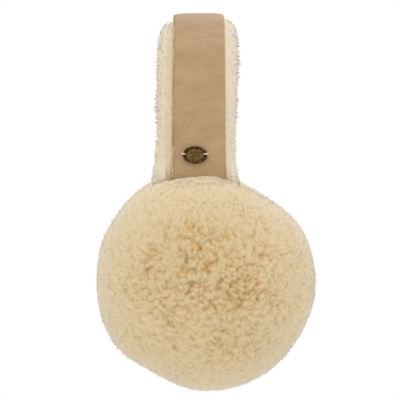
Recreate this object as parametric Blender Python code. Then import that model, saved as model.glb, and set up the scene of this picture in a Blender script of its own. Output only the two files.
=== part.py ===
"""Fur earmuffs: two round sheepskin ear pads on a sprung headband.

The band is a wool-lined strip that runs over the crown from ear to ear. A suede strip lies along its
outer face, between two rolls of wool, and carries a small oval metal badge above one pad. Each pad is
an outer fleece and an inner fleece, sewn together at the rim, and swallows the band's end in a pocket.

Metres, +Z up. The origin is the middle of the band's under side at the crown, where it sits on the
head. The wearer looks along -Y, with the left ear at +X.
"""

import math
import random

import bmesh
import bpy
from mathutils import Matrix, Vector

# Headband
CROWN_RADIUS = 0.078  # of the band's inner face over the head
LEAN = math.radians(8.0)  # of the band's ends, and so of the pads, in towards the jaw
CROWN_TO_EAR = 0.1762  # along the inner face, from the crown to a pad's middle
BAND_THICKNESS = 0.0145  # from the wool's inner face to the top of the suede
TAIL_DEPTH = 0.034  # of the band's end inside a pad's rim
BAND_STATIONS = 48  # sections along the whole band

# Suede strip
SUEDE_WIDTH = 0.0268
SUEDE_THICKNESS = 0.0020
SUEDE_EDGE_DROP = 0.0011  # how far its turned edges lie below its middle
SUEDE_CROWN_POWER = 6.0  # flat in the middle, rounded at the edges
SUEDE_SEAT_SHARES = (-1.0, -0.85, -0.5, 0.0, 0.5, 0.85, 1.0)  # of the half width

# Wool rolls beside the suede. The front roll is wider and lower than the rear one.
FRONT_OVERHANG = 0.0098
REAR_OVERHANG = 0.0072
FRONT_ROLL_HEIGHT = 0.0102
REAR_ROLL_HEIGHT = 0.0120
ROLL_SECTION = (
    # reach past the suede's edge, as a share of the overhang; height, as a share of the roll's height
    (0.10, 1.00),
    (0.45, 0.94),
    (0.80, 0.76),
    (1.00, 0.44),
    (0.88, 0.16),
    (0.50, 0.02),
)
BAND_LOCK_HEIGHT = 0.0016

# Ear pads
PAD_RADIUS = 0.056
PAD_OFFSET = 0.0038  # of a pad's middle behind the middle of the suede
PAD_OUTER_DEPTH = 0.034  # from the rim's plane to the top of the outer fleece
PAD_INNER_DEPTH = 0.022  # from the rim's plane to the ear side
PAD_FULLNESS = 2.25  # 2 is an ellipse, and more is squarer
PAD_OUTLINE = (
    # bearing in degrees, from the rear towards the top; radius as a share of PAD_RADIUS
    (0, 1.005),
    (30, 1.015),
    (60, 0.980),
    (90, 1.000),
    (120, 1.075),
    (150, 1.040),
    (180, 1.005),
    (210, 1.010),
    (240, 0.960),
    (270, 0.985),
    (300, 1.000),
    (330, 0.980),
)
RIM_POINTS = 44
OUTER_LOCK_ROOTS = 270
OUTER_LOCK_HEIGHT = 0.0026
INNER_LOCK_ROOTS = 150
INNER_LOCK_HEIGHT = 0.0014
LOCK_UNEVENNESS = 0.45  # share of a lock's height that varies from lock to lock

# Badge
BADGE_WIDTH = 0.0125
BADGE_HEIGHT = 0.0090
BADGE_THICKNESS = 0.0014
BADGE_RIM = 0.0010
BADGE_RECESS = 0.0004
BADGE_ABOVE_PAD = 0.0081  # from the pad's edge up to the badge's middle
BADGE_OFFSET = -0.0019  # of the badge's middle from the middle of the suede
BADGE_BEVEL = 0.0003
NOTCH_RADIUS = 0.0007  # at both ends, where the thread is sewn over
THREAD_HOLE_RADIUS = 0.00045
THREAD_HOLE_INSET = 0.0022  # from the badge's end to the middle of its thread hole
BADGE_SIDES = 32
DRILL_SIDES = 12
DRILL_LENGTH = 0.0056  # clear through the plate on both faces

SEAT_GAP = 0.0003  # between pieces that are sewn or fixed together
FLAT = 1e-6  # a face whose corners all lie this near the rim's plane is a fleece's flat back

FLEECES = (
    # half of a pad; facing, away from the head or towards it; depth; lock roots; lock height; seed
    ("outer", 1, PAD_OUTER_DEPTH, OUTER_LOCK_ROOTS, OUTER_LOCK_HEIGHT, 10),
    ("inner", -1, PAD_INNER_DEPTH, INNER_LOCK_ROOTS, INNER_LOCK_HEIGHT, 20),
)
BAND_LOCK_SEED = 3

ARC_TURN = math.radians(90.0) + LEAN
RIM_ALONG = CROWN_TO_EAR - PAD_RADIUS
RIM_RADIUS = PAD_RADIUS - OUTER_LOCK_HEIGHT  # where the roots of both fleeces meet
TAIL_ALONG = RIM_ALONG + TAIL_DEPTH
GOLDEN_ANGLE = math.pi * (3.0 - math.sqrt(5.0))


def clear_scene():
    for obj in list(bpy.data.objects):
        bpy.data.objects.remove(obj, do_unlink=True)


def material(name, colour, roughness, metallic=0.0):
    made = bpy.data.materials.new(name)
    made.use_nodes = True
    shader = made.node_tree.nodes["Principled BSDF"]
    shader.inputs["Base Color"].default_value = (*colour, 1.0)
    shader.inputs["Roughness"].default_value = roughness
    shader.inputs["Metallic"].default_value = metallic
    return made


def new_object(name, bm, finish, smooth_angle=50.0):
    bmesh.ops.recalc_face_normals(bm, faces=bm.faces)
    mesh = bpy.data.meshes.new(name)
    bm.to_mesh(mesh)
    bm.free()
    mesh.shade_smooth()
    mesh.set_sharp_from_angle(angle=math.radians(smooth_angle))
    obj = bpy.data.objects.new(name, mesh)
    bpy.context.scene.collection.objects.link(obj)
    if finish:
        mesh.materials.append(finish)
    return obj


def cutter(name, bm):
    obj = new_object(name, bm, None)
    obj.hide_render = True
    obj.display_type = "WIRE"
    return obj


def cut(obj, tool):
    modifier = obj.modifiers.new("cut_" + tool.name, "BOOLEAN")
    modifier.operation = "DIFFERENCE"
    modifier.object = tool


def band_frame(along):
    """Place of the band's inner face, its outward normal and its onward direction, at a distance from
    the crown. The distance is positive towards the left ear."""
    side = math.copysign(1.0, along)
    turn = min(abs(along) / CROWN_RADIUS, ARC_TURN)
    leg = abs(along) - turn * CROWN_RADIUS
    normal = Vector((side * math.sin(turn), 0.0, math.cos(turn)))
    onward = Vector((side * math.cos(turn), 0.0, -math.sin(turn)))
    centre = Vector((0.0, 0.0, -CROWN_RADIUS))
    return centre + normal * CROWN_RADIUS + onward * leg, normal, onward


def suede_top(share):
    """Height of the suede's outer face above the inner face, at a share of its half width."""
    return BAND_THICKNESS - SUEDE_EDGE_DROP * abs(share) ** SUEDE_CROWN_POWER


def suede_line(below):
    """Points across the suede, from the front edge to the rear edge, at a depth below its outer face."""
    half = SUEDE_WIDTH / 2
    return [(share * half, suede_top(share) - below) for share in SUEDE_SEAT_SHARES]


def roll_line(side, overhang, height, first=0):
    """Points round one wool roll, from beside the suede to the under side. Side is -1 at the front."""
    half = SUEDE_WIDTH / 2
    rows = ROLL_SECTION[first:]
    return [(side * (half + reach * overhang), rise * height) for reach, rise in rows]


def lining_section():
    """The wool lining's outline: seat under the suede, rear roll, inner face, front roll."""
    seat = suede_line(SUEDE_THICKNESS + SEAT_GAP)
    rear = roll_line(1, REAR_OVERHANG, REAR_ROLL_HEIGHT)
    front = roll_line(-1, FRONT_OVERHANG, FRONT_ROLL_HEIGHT)
    inner = [(SUEDE_WIDTH / 4, 0.0), (-SUEDE_WIDTH / 4, 0.0)]
    return seat + rear + inner + front[::-1]


def suede_section():
    return suede_line(0.0) + suede_line(SUEDE_THICKNESS)[::-1]


def pocket_section():
    """The whole band's outline with the sewing gap all round, which the pads are cut by."""
    top = suede_line(0.0)
    rear = roll_line(1, REAR_OVERHANG, REAR_ROLL_HEIGHT, first=1)
    front = roll_line(-1, FRONT_OVERHANG, FRONT_ROLL_HEIGHT, first=1)
    return grown(top + rear + front[::-1], SEAT_GAP)


def grown(outline, by):
    """A clockwise outline with every side moved outwards by a distance."""
    points = [Vector(point) for point in outline]
    made = []
    for before, here, after in zip(points[-1:] + points[:-1], points, points[1:] + points[:1]):
        sides = [(here - before).normalized(), (after - here).normalized()]
        outward = [Vector((-side.y, side.x)) for side in sides]
        middle = (outward[0] + outward[1]).normalized()
        made.append(here + middle * (by / middle.dot(outward[0])))
    return made


def sweep(section, reach, stations):
    """One closed body along the band, from one end to the other."""
    bm = bmesh.new()
    end = None
    for step in range(stations + 1):
        place, normal, _ = band_frame(reach * (2.0 * step / stations - 1.0))
        ring = [place + normal * height + Vector((0.0, across, 0.0)) for across, height in section]
        if end is None:
            end = bm.faces.new([bm.verts.new(point) for point in ring])
            continue
        made = bmesh.ops.extrude_face_region(bm, geom=[end])["geom"]
        if step > 1:
            bmesh.ops.delete(bm, geom=[end], context="FACES_ONLY")
        end = next(item for item in made if isinstance(item, bmesh.types.BMFace))
        for vert, point in zip(end.verts, ring):
            vert.co = point
    bmesh.ops.recalc_face_normals(bm, faces=bm.faces)
    return bm


def raise_locks(bm, faces, height, seed):
    """Draws each face out into one lock of wool, all of them still joined at their roots."""
    uneven = random.Random(seed)
    for vert in bmesh.ops.poke(bm, faces=faces)["verts"]:
        normal = sum((face.normal for face in vert.link_faces), Vector()).normalized()
        vert.co += normal * height * (1.0 - LOCK_UNEVENNESS * uneven.random())


def lining(finish):
    """Wool lining of the band, with locks on its rolls and inner face short of the pads."""
    bm = sweep(lining_section(), TAIL_ALONG, BAND_STATIONS)
    seat_edge = SUEDE_WIDTH / 2 + SEAT_GAP
    roll_root = SUEDE_WIDTH / 2 + ROLL_SECTION[0][0] * REAR_OVERHANG
    free_reach = RIM_ALONG - PAD_OUTER_DEPTH / 2
    lowest = band_frame(free_reach)[0].z
    woolly = []
    for face in bm.faces:
        middle = face.calc_center_median()
        outward = (middle - Vector((0.0, middle.y, -CROWN_RADIUS))).normalized()
        on_seat = abs(middle.y) < roll_root and outward.dot(face.normal) > 0.0
        beside = abs(middle.y) > seat_edge and not on_seat
        under = abs(middle.y) <= seat_edge and outward.dot(face.normal) < 0.0
        if middle.z > lowest and (beside or under):
            woolly.append(face)
    raise_locks(bm, woolly, BAND_LOCK_HEIGHT, BAND_LOCK_SEED)
    return new_object("band_wool_lining", bm, finish)


def suede_strip(finish):
    bm = sweep(suede_section(), TAIL_ALONG, BAND_STATIONS)
    return new_object("band_suede_strip", bm, finish)


def pocket_cutter():
    return cutter("band_pocket", sweep(pocket_section(), TAIL_ALONG + SEAT_GAP, BAND_STATIONS))


def outline_share(bearing):
    """A pad's radius share at a bearing in radians, eased between the rows of PAD_OUTLINE."""
    step = 360.0 / len(PAD_OUTLINE)
    place = math.degrees(bearing) % 360.0 / step
    row = int(place) % len(PAD_OUTLINE)
    blend = 0.5 - 0.5 * math.cos(math.pi * (place - int(place)))
    here, after = PAD_OUTLINE[row][1], PAD_OUTLINE[(row + 1) % len(PAD_OUTLINE)][1]
    return here + (after - here) * blend


def dome_point(radius, depth, lean, bearing):
    """A point of the pad's dome, at an angle from its axis and a bearing round it."""
    out, along = math.sin(lean), math.cos(lean)
    size = (out**PAD_FULLNESS + along**PAD_FULLNESS) ** (1.0 / PAD_FULLNESS)
    across = radius * out / size
    return Vector((depth * along / size, across * math.cos(bearing), across * math.sin(bearing)))


def fleece(ear, side, half, finish):
    """Half of an ear pad, a row of FLEECES: a dome of wool locks on a flat back at the rim's plane,
    from which it stands off by half the sewing gap."""
    label, facing, depth, roots, lock_height, seed = half
    bm = bmesh.new()
    for index in range(roots):
        lean = math.acos(1.0 - (index + 0.5) / (roots + 0.5 * RIM_POINTS))
        bm.verts.new(dome_point(RIM_RADIUS, depth - lock_height, lean, index * GOLDEN_ANGLE))
    for index in range(RIM_POINTS):
        bearing = 2.0 * math.pi * index / RIM_POINTS
        bm.verts.new((0.0, RIM_RADIUS * math.cos(bearing), RIM_RADIUS * math.sin(bearing)))
    bmesh.ops.convex_hull(bm, input=bm.verts)
    dome = [face for face in bm.faces if max(vert.co.x for vert in face.verts) > FLAT]
    dome.sort(key=lambda face: face.calc_center_median().x)  # the hull's own order changes with its size
    bmesh.ops.recalc_face_normals(bm, faces=bm.faces)
    raise_locks(bm, dome, lock_height, seed + side)
    for vert in bm.verts:
        share = outline_share(math.atan2(vert.co.z, vert.co.y))
        vert.co = Vector((vert.co.x, vert.co.y * share, vert.co.z * share))
    bmesh.ops.translate(bm, verts=bm.verts, vec=(SEAT_GAP / 2, 0.0, 0.0))
    bmesh.ops.transform(bm, verts=bm.verts, matrix=Matrix.Diagonal((facing * side, 1.0, 1.0, 1.0)))
    obj = new_object(f"pad_{label}_fleece_{ear}", bm, finish)
    place, normal, _ = band_frame(side * CROWN_TO_EAR)
    obj.location = place + normal * (BAND_THICKNESS / 2) + Vector((0.0, PAD_OFFSET, 0.0))
    obj.rotation_euler = (0.0, side * LEAN, 0.0)
    return obj


def badge(finish):
    """Oval plate with a raised rim, notched and drilled at both ends for its thread."""
    bm = bmesh.new()
    made = bmesh.ops.create_circle(bm, cap_ends=True, segments=BADGE_SIDES, radius=1.0)
    oval = Matrix.Diagonal((BADGE_WIDTH / 2, BADGE_HEIGHT / 2, 1.0, 1.0))
    bmesh.ops.transform(bm, verts=made["verts"], matrix=oval)
    face = bm.faces[:]
    made = bmesh.ops.extrude_face_region(bm, geom=face)["geom"]
    top = [item for item in made if isinstance(item, bmesh.types.BMFace)]
    bmesh.ops.translate(bm, verts=top[0].verts, vec=(0.0, 0.0, BADGE_THICKNESS))
    bmesh.ops.inset_region(bm, faces=top, thickness=BADGE_BEVEL, depth=0.0)
    rim = [vert for vert in bm.verts if vert.co.z > BADGE_THICKNESS / 2 and vert not in top[0].verts]
    bmesh.ops.translate(bm, verts=rim, vec=(0.0, 0.0, -BADGE_BEVEL))
    bmesh.ops.inset_region(bm, faces=top, thickness=BADGE_RIM - BADGE_BEVEL, depth=0.0)
    bmesh.ops.inset_region(bm, faces=top, thickness=BADGE_RECESS, depth=-BADGE_RECESS)
    plate = new_object("badge", bm, finish)
    for end, label in ((-1, "front"), (1, "rear")):
        for radius, inset, what in (
            (NOTCH_RADIUS, 0.0, "notch"),
            (THREAD_HOLE_RADIUS, THREAD_HOLE_INSET, "thread_hole"),
        ):
            drill = bmesh.new()
            bmesh.ops.create_cone(
                drill,
                cap_ends=True,
                segments=DRILL_SIDES,
                radius1=radius,
                radius2=radius,
                depth=DRILL_LENGTH,
            )
            tool = cutter(f"badge_{what}_{label}", drill)
            tool.location = (end * (BADGE_WIDTH / 2 - inset), 0.0, 0.0)
            tool.parent = plate
            cut(plate, tool)
    place, normal, onward = band_frame(RIM_ALONG - BADGE_ABOVE_PAD)
    rearward = Vector((0.0, 1.0, 0.0))
    turned = Matrix((rearward, -onward, normal)).transposed().to_4x4()
    seat = place + normal * (BAND_THICKNESS + SEAT_GAP) + rearward * BADGE_OFFSET
    plate.matrix_world = Matrix.Translation(seat) @ turned
    return plate


def main():
    clear_scene()
    wool = material("wool_pile", (0.63, 0.47, 0.26), 0.9)
    suede = material("suede", (0.50, 0.34, 0.20), 0.85)
    brass = material("antique_brass", (0.10, 0.06, 0.02), 0.45, metallic=0.9)
    lining(wool)
    suede_strip(suede)
    pocket = pocket_cutter()
    for side, ear in ((1, "left"), (-1, "right")):
        for half in FLEECES:
            cut(fleece(ear, side, half, wool), pocket)
    badge(brass)


if __name__ == "__main__":
    main()
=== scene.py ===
"""Looks of the fur earmuffs: sheepskin ear pads on a wool-lined headband with a suede strip and a badge.

Laid out as a Blender add-on and run as a script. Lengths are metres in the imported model's frame: the
origin is the middle of the band's under side at the crown, +Z up, the wearer's left ear at +X and the
wearer looking along -Y.
"""

import math

import bmesh
import bpy
import numpy as np
from bpy.props import FloatProperty, FloatVectorProperty, IntProperty, PointerProperty
from mathutils import Matrix, Vector, kdtree, noise


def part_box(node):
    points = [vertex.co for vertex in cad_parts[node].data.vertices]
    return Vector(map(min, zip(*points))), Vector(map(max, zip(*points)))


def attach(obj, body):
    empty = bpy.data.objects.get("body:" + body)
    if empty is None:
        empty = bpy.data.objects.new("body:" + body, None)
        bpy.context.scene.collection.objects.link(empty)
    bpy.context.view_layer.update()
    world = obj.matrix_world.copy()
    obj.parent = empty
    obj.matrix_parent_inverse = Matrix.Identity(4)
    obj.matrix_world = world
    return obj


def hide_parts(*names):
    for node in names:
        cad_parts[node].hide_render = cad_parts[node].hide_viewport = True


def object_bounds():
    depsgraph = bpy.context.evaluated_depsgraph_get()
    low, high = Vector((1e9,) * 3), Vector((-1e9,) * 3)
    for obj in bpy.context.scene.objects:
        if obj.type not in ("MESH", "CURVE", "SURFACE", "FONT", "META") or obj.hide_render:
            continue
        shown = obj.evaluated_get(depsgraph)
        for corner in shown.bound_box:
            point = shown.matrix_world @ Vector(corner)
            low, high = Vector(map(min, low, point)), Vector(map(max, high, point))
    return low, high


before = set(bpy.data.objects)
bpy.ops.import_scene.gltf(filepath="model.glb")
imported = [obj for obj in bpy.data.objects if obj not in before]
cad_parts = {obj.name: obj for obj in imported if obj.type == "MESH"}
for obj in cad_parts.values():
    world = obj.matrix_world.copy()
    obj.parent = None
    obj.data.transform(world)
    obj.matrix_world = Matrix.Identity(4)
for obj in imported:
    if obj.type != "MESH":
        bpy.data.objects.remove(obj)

bl_info = {
    "name": "Fur earmuffs",
    "version": (1, 0, 0),
    "blender": (4, 5, 0),
    "location": "3D View > Sidebar > Earmuffs",
    "description": "Builds sheepskin ear pads on a wool-lined headband with a suede strip and a badge",
    "category": "Object",
}

CAD_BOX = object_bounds()
SUEDE_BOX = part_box("band_suede_strip")

SIDES = (("left", 1), ("right", -1))
REARWARD = np.array([0.0, 1.0, 0.0])
GOLDEN_ANGLE = math.pi * (3.0 - math.sqrt(5.0))
TINY = 1e-6  # stands in for no distance at all
DRIFT_SEED = 1  # without one, the offsets of the vector noise come from the clock
SHARP = math.radians(60.0)  # edges that turn by more than this are shaded as corners

# Outlines
# A pad's radius at every 30 degrees, from the rear towards the top, as a share of its full radius
PAD_OUTLINE = (1.005, 1.015, 0.980, 1.000, 1.075, 1.040, 1.005, 1.010, 0.948, 0.985, 0.988, 0.980)
LAP_BEARING = 88.0  # degrees from the rear towards the top, where the pad's pile laps over the suede
PILE_LAP, LAP_SPREAD = 0.040, 17.0  # the lap, as a share of the pad's radius, and its spread in degrees
# Reach past the suede's edge, as a share of the overhang, and height, as a share of the roll's height
ROLL_SECTION = ((0.05, 1.00), (0.45, 0.94), (0.80, 0.76), (1.00, 0.44), (0.88, 0.16), (0.50, 0.02))
ROLL_SWELL = (
    # distance from the crown; how much wider the front and the rear roll are, as shares of their overhang
    (0.000, -0.12, 0.00),
    (0.020, -0.10, 0.14),
    (0.040, -0.03, 0.28),
    (0.058, 0.03, 0.28),
    (0.072, 0.03, 0.16),
    (0.084, 0.08, 0.10),
    (0.100, 0.02, -0.06),
    (0.113, 0.08, -0.08),
    (0.119, 0.18, 0.06),
    (0.126, 0.34, 0.36),
)
SUEDE_CROWN_POWER = 6  # flat in the middle, rounded at the edges
SEAT_SHARES = (-1.0, -0.85, -0.5, 0.0, 0.5, 0.85, 1.0)  # of the suede's half width, where its seat has points
WOOL_UNDER_SUEDE = 0.0004  # how far the rolls start inside the suede's edge
HEAD_FLAT = 0.4  # share of the suede's half width over which the face on the head is flat
FILLET_RUN, FILLET_RISE = 0.011, 0.0042  # of the rolls where they meet the pads
FILLET_WIDE, FILLET_HIGH = 0.003, 0.008  # past the suede and above the head, where the fillet is whole
POCKET_CLEAR = 0.001  # how far strands may root inside the band's outer face
POCKET_SHARE = 0.8  # of the overhangs; further out than this, strands may root beside the band

# Locks and tufts
JITTER, STRAND_JITTER = 0.45, 0.5  # how far locks, tufts and strands are moved, as shares of their pitch
LOCK_BEND, LOCK_BEND_PITCH = 0.22, 0.8  # of the bends in the locks' outlines, as shares of the lock pitch
LOCK_SLOPE, TUFT_SLOPE = 0.45, 1.0  # how steeply a lock and a tuft fall off from their middles
LOCK_DROP, TUFT_DROP = 0.00028, 0.00050  # how unevenly deep the locks and the tufts lie
SWELL_PITCH, SWELL_DEPTH, SWELL_SHIFT = 0.009, 0.0005, 0.2  # of the broad waves in the pile
RIDGE_DEPTH, RIDGE_BASE, RIDGE_TOP = 0.00018, 0.5, 1.2  # where the pile is combed flat
RIDGE_PITCH, RIDGE_LENGTH, RIDGE_SPAN = 0.6, 3.5, 0.050  # share of the tuft pitch; ridge pitches; radius
LOCK_TINT = 0.4  # share of a strand's tint that its lock gives; its tuft gives the rest
FUZZ_RANGE = (0.2, 1.6)  # the lowest and the highest tuft's fuzz, as shares

# Strands. Real wool is over ten times finer: it is drawn coarser, so that it shows and stays countable.
STRAND_BELLY = 0.6  # where a strand is widest, as a share of its length
STRAND_WIDTHS = (0.7, 1.3)  # the thinnest and the thickest strand, as shares of their width
STRAND_MAP_SHARE = 0.8  # of a fleece's map; the skin under the pile has the rest
MAP_MARGIN, STRAND_MARGIN = 0.02, 0.1  # around a chart and a strand's patch, as shares of each
PAD_MAP_SPAN = 2.4  # radii of a pad across one chart of its skin
BAND_MAP_SPANS, BAND_MAP_TOP = (2.2, 1.8), 0.9  # radii of the band across and up a chart; the crown's place
SMOOTH_FUZZ, SMOOTH_CURL = 0.4, 0.35  # shares of the fuzz and the curl left where the pile lies smooth
TO_TUFT, TO_LOCK = 0.65, 0.10  # how far strands draw together
COMB_PITCH, COMB, LOCK_COMB = 0.020, 0.30, 0.22  # how far they lean with their neighbours and their lock
TUFT_CURL, OWN_CURL = 0.5, 0.4
ROOT_SPREAD, LEAN_AT_TIP, CURL_AT_TIP, CURL_AT_BEND = 0.4, 0.6, 0.35, 0.8
BEND_AT = 0.65  # share of the way from root to tip
LOCK_ROUNDING, TUFT_ROUNDING = 1.2, 0.7  # how far the shading turns over a lock and a tuft

# Where a pad's wool is lively
UNEVEN_PITCH, UNEVEN_EDGE, UNEVEN_HEIGHT = 0.016, 0.18, 0.3
TOUSLED_FADE = (1.46, 0.26)  # from smooth to tousled, as shares of the tousled radius
UPPER_SPAN, UPPER_SHIFT, UPPER_GAIN = 0.025, 0.2, 0.15  # the locks stand further apart above the middle
APART_RANGE = (0.4, 1.5)
PAD_CALM, SUEDE_LAP_GAIN = 0.28, 0.15  # liveliness at the rim, and what the lap over the suede adds
LAP_TUFT_SPREAD, LAP_TUFTS = 21.0, (0.945, 0.975)  # degrees; from and to, as shares of the pad's radius
RIM_WIDTH, RIM_RELIEF, RIM_GAP = 0.008, 0.0040, 0.00003  # fuzzier rim, fading relief, gap of the halves
RIM_LIGHT_RATE = 8.5  # how fast the painted rim light gives way, inwards from the rim
DRAWN_OUT, DRAWN_OUT_MOST = (0.018, 0.058), 0.70  # tufts lean over from and to these distances; the most
PAD_FUZZ, LAP_FUZZ, RIM_FUZZ = 0.0006, 0.0005, 0.0007  # how far the strands stand over the relief
PAD_COVER, PAD_COVER_GAIN = 0.1, 1.1  # share of strands kept, and its gain where the wool is lively
CUT_REACH = 0.0006  # a skin's point further than this from the dome was made by the pocket's cut
OUTWARDS = 0.01  # a face that points outwards by less than this goes on the chart for the rest

# The band's wool
BAND_PAST_PADS = 0.010  # how far its pile goes on under the pads'
ROLL_EDGE = (0.0045, 0.0085)  # past the suede, from smooth to lively
NEAR_PADS, NEAR_PADS_LEAST, SEAM_ABOVE = 0.010, 0.3, 0.008  # calmer wool over the pads
HEAD_FACE, HEAD_TIPS, ROLL_TOP = (0.004, 0.001), (0.003, 0.001), (0.005, 0.008)  # above the head
BAND_CALM, BAND_GAIN = 0.22, 0.42
FRONT_SHADE_REACH, REAR_SHADE_REACH, HEAD_TAN_SHARE = 0.0026, 0.0008, 0.25  # reaches of the tan painted shade beside the suede; the tan's share on the face over the head
SEWN_IN, SEWN_SLACK = 0.003, -0.001  # the pile leans to the suede within these of its edge
FRONT_SEAM_SHADE, REAR_SEAM_SHADE = 0.0012, 0.0004  # painted shade at the seams beside the suede: how much deeper the colour reads the wool there, which is not dented
BAND_COVER, BAND_COVER_GAIN, BAND_FUZZ = 0.12, 0.55, 0.0010
FREE_WIDE, FREE_HEIGHT = 0.0025, (0.008, 0.004)  # where the wool is no longer sewn down
BAND_STATIONS, SUEDE_STATIONS, POCKET_STATIONS = 560, 200, 64

# The short pile that laps over the suede's front edge
LAP_PITCH = 0.00009
LAP_WAVES = ((0.0045, 7.0, 1.0), (0.0016, 3.0, 0.6), (0.012, 11.0, 1.3))  # pitch, course, height
LAP_FROM_CROWN = (0.022, 0.042)
LAP_MEAN, LAP_SWING, LAP_MOST, LAP_LEAST = 0.0006, 0.0011, 0.0024, 0.4
LAP_ROOTS, LAP_SINK, LAP_LIFT, LAP_HUMP = (-0.0010, -0.0001), 0.0012, (0.0001, 0.0004), 0.0004
LAP_BEND, LAP_SIDEWAYS, LAP_LIVELY, LAP_TURN = 0.6, 0.0005, 0.3, 0.3
LAP_SHADE, LAP_SHADE_SWING, LAP_SHADE_PITCH, LAP_SHADE_COURSE = 0.0016, 0.0030, 0.0040, 19.0

# Suede
SUEDE_UNDER_SHARE, SUEDE_TURN, SUEDE_TURN_SHARES = 0.985, 0.0002, (0.6, 1.4)
EDGE_WAVE, FACE_WAVE = (0.00022, 0.007, 3.0), (0.00012, 0.011, 0.012)  # size, pitch, course or pitch across

# Badge, with shares of its own sizes
NOTCH_SHARE, OUTER_EDGE, INNER_FACE = 0.7, 0.249, 0.135
RECESS_SLOPE, RIM_TOP, RIM_FOOT, SHARP_EDGE = 0.8, 0.99, 0.6, 0.3
FACE_RINGS, FACE_STEP, DENT_WIDTH, FLAT, UPWARD = 16, 0.024, 0.45, 1e-5, 0.9
WEAR_PITCH, RIM_WEAR, RIM_WEAR_SWING, FACE_WEAR, DENT_WEAR = 0.0022, 0.08, 0.7, 0.10, 0.42
STITCHES = (
    # end of the badge, name, tilt, start inside and stop beyond the badge's end
    (-1, "front", 0.16, -0.0012, 0.0006),
    (1, "rear", -0.10, -0.0019, 0.0004),
)
STITCH_HIGH, STITCH_TURNS, STITCH_BOW, STITCH_SINK, STITCH_ASIDE = 1.25, (0.08, 0.86), 0.7, 0.0002, 0.0005
PLY_TURN, PLY_OFF, PLY_WIDE = 0.7, 0.22, 0.28  # turn a step; place and radius, as shares of the thread


def linear(code):
    """An sRGB hex colour as linear red, green and blue."""
    shares = [int(code[i : i + 2], 16) / 255 for i in (1, 3, 5)]
    return tuple(s / 12.92 if s <= 0.04045 else ((s + 0.055) / 1.055) ** 2.4 for s in shares)


def length(label, description, default):
    return FloatProperty(name=label, description=description, default=default, min=0.0, unit="LENGTH")


def offset(label, description, default):
    return FloatProperty(name=label, description=description, default=default, unit="LENGTH")


def share(label, description, default):
    return FloatProperty(name=label, description=description, default=default, min=0.0, subtype="FACTOR")


def count(label, description, default):
    return IntProperty(name=label, description=description, default=default, min=1)


def colour(label, description, code):
    return FloatVectorProperty(
        name=label, description=description, default=linear(code), subtype="COLOR", min=0.0, max=1.0
    )


class BandSizes(bpy.types.PropertyGroup):
    thickness: length("Thickness", "From the wool's inner face to the suede's top", SUEDE_BOX[1].z)
    crown_radius: length("Crown radius", "Of the face over the head", SUEDE_BOX[1].x - SUEDE_BOX[1].z)
    lean: FloatProperty(
        name="Lean",
        description="Of the band's ends in towards the jaw",
        default=math.radians(8.0),
        subtype="ANGLE",
    )
    crown_to_ear: length("Crown to ear", "Along the inner face, to a pad's middle", 0.1762)
    tail_depth: length("Tail depth", "Of the band's end inside a pad's rim", 0.034)
    suede_width: length("Suede width", "Across the strip", SUEDE_BOX[1].y - SUEDE_BOX[0].y)
    suede_thickness: length("Suede thickness", "At the middle of the strip", 0.0020)
    suede_edge_drop: length("Suede edge drop", "How far its turned edges lie below its middle", 0.0011)
    seat_gap: length("Seat gap", "Between pieces that are sewn together", 0.0003)
    front_overhang: length("Front overhang", "Of the front wool roll past the suede", 0.0098)
    rear_overhang: length("Rear overhang", "Of the rear wool roll past the suede", 0.0072)
    front_height: length("Front roll height", "Above the inner face", 0.0102)
    rear_height: length("Rear roll height", "Above the inner face", 0.0120)


class PadSizes(bpy.types.PropertyGroup):
    radius: length("Radius", "Of a pad over the tips of its wool", 0.056)
    offset: length("Offset", "Of a pad's middle behind the suede's middle", 0.0038)
    outer_depth: length("Outer depth", "From the rim's plane to the outer wool's tips", 0.034)
    inner_depth: length("Inner depth", "From the rim's plane to the ear side's wool tips", 0.022)
    fullness: FloatProperty(name="Fullness", description="2 is an ellipse, and more is squarer", default=2.25)


class WoolSizes(bpy.types.PropertyGroup):
    outer_strands: length("Outer strand pitch", "Between the strands of an outer fleece", 0.00100)
    inner_strands: length("Inner strand pitch", "Between the strands of an ear side", 0.00130)
    outer_cells: count("Outer cells", "Along each side of the grid that is laid on an outer fleece", 220)
    inner_cells: count("Inner cells", "Along each side of the grid that is laid on an ear side", 150)
    lock_pitch: length("Lock pitch", "Between the pads' locks", 0.0046)
    tuft_pitch: length("Tuft pitch", "Between the tufts that make up the pads' locks", 0.0022)
    pile: length("Pile", "From root to tip on the pads", 0.0050)
    skin_depth: length("Skin depth", "Of the wool's body below the tips of its fuzz", 0.0006)
    strand_width: length("Strand width", "Across one strand of the pads", 0.00038)
    proud: length("Proud", "How far the longest strands stand over the packed form", 0.0008)
    tousled_radius: length("Tousled radius", "Of the part of a pad where the locks stand apart", 0.042)
    tousled_rise: length("Tousled rise", "Of the middle of that part above the pad's middle", 0.003)
    tousled_back: length("Tousled back", "Of the middle of that part behind the pad's middle", 0.001)
    nub_pitch: length("Nub pitch", "Between the small curls on the tufts", 0.0012)
    nub_height: length("Nub height", "Of the small curls on the tufts", 0.0005)
    band_strands: length("Band strand pitch", "Between the strands of the band", 0.00115)
    band_locks: length("Band lock pitch", "Between the band's locks", 0.0036)
    band_tufts: length("Band tuft pitch", "Between the tufts that make up the band's locks", 0.0020)
    band_pile: length("Band pile", "From root to tip on the band", 0.0030)
    band_width: length("Band strand width", "Across one strand of the band", 0.00034)
    soft_shading: share("Soft shading", "How far the strands are lit as the pile's surface", 0.65)
    warmth: share("Pad warmth", "How far the root colour comes through in patches on the pads", 0.20)
    band_warmth: share("Band warmth", "How far it comes through in patches on the band", 0.15)
    deep: length("Pad shade depth", "In the pads' pile, where the root colour is whole", 0.0031)
    band_deep: length("Band shade depth", "In the band's pile, where the root colour is whole", 0.0046)


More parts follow.
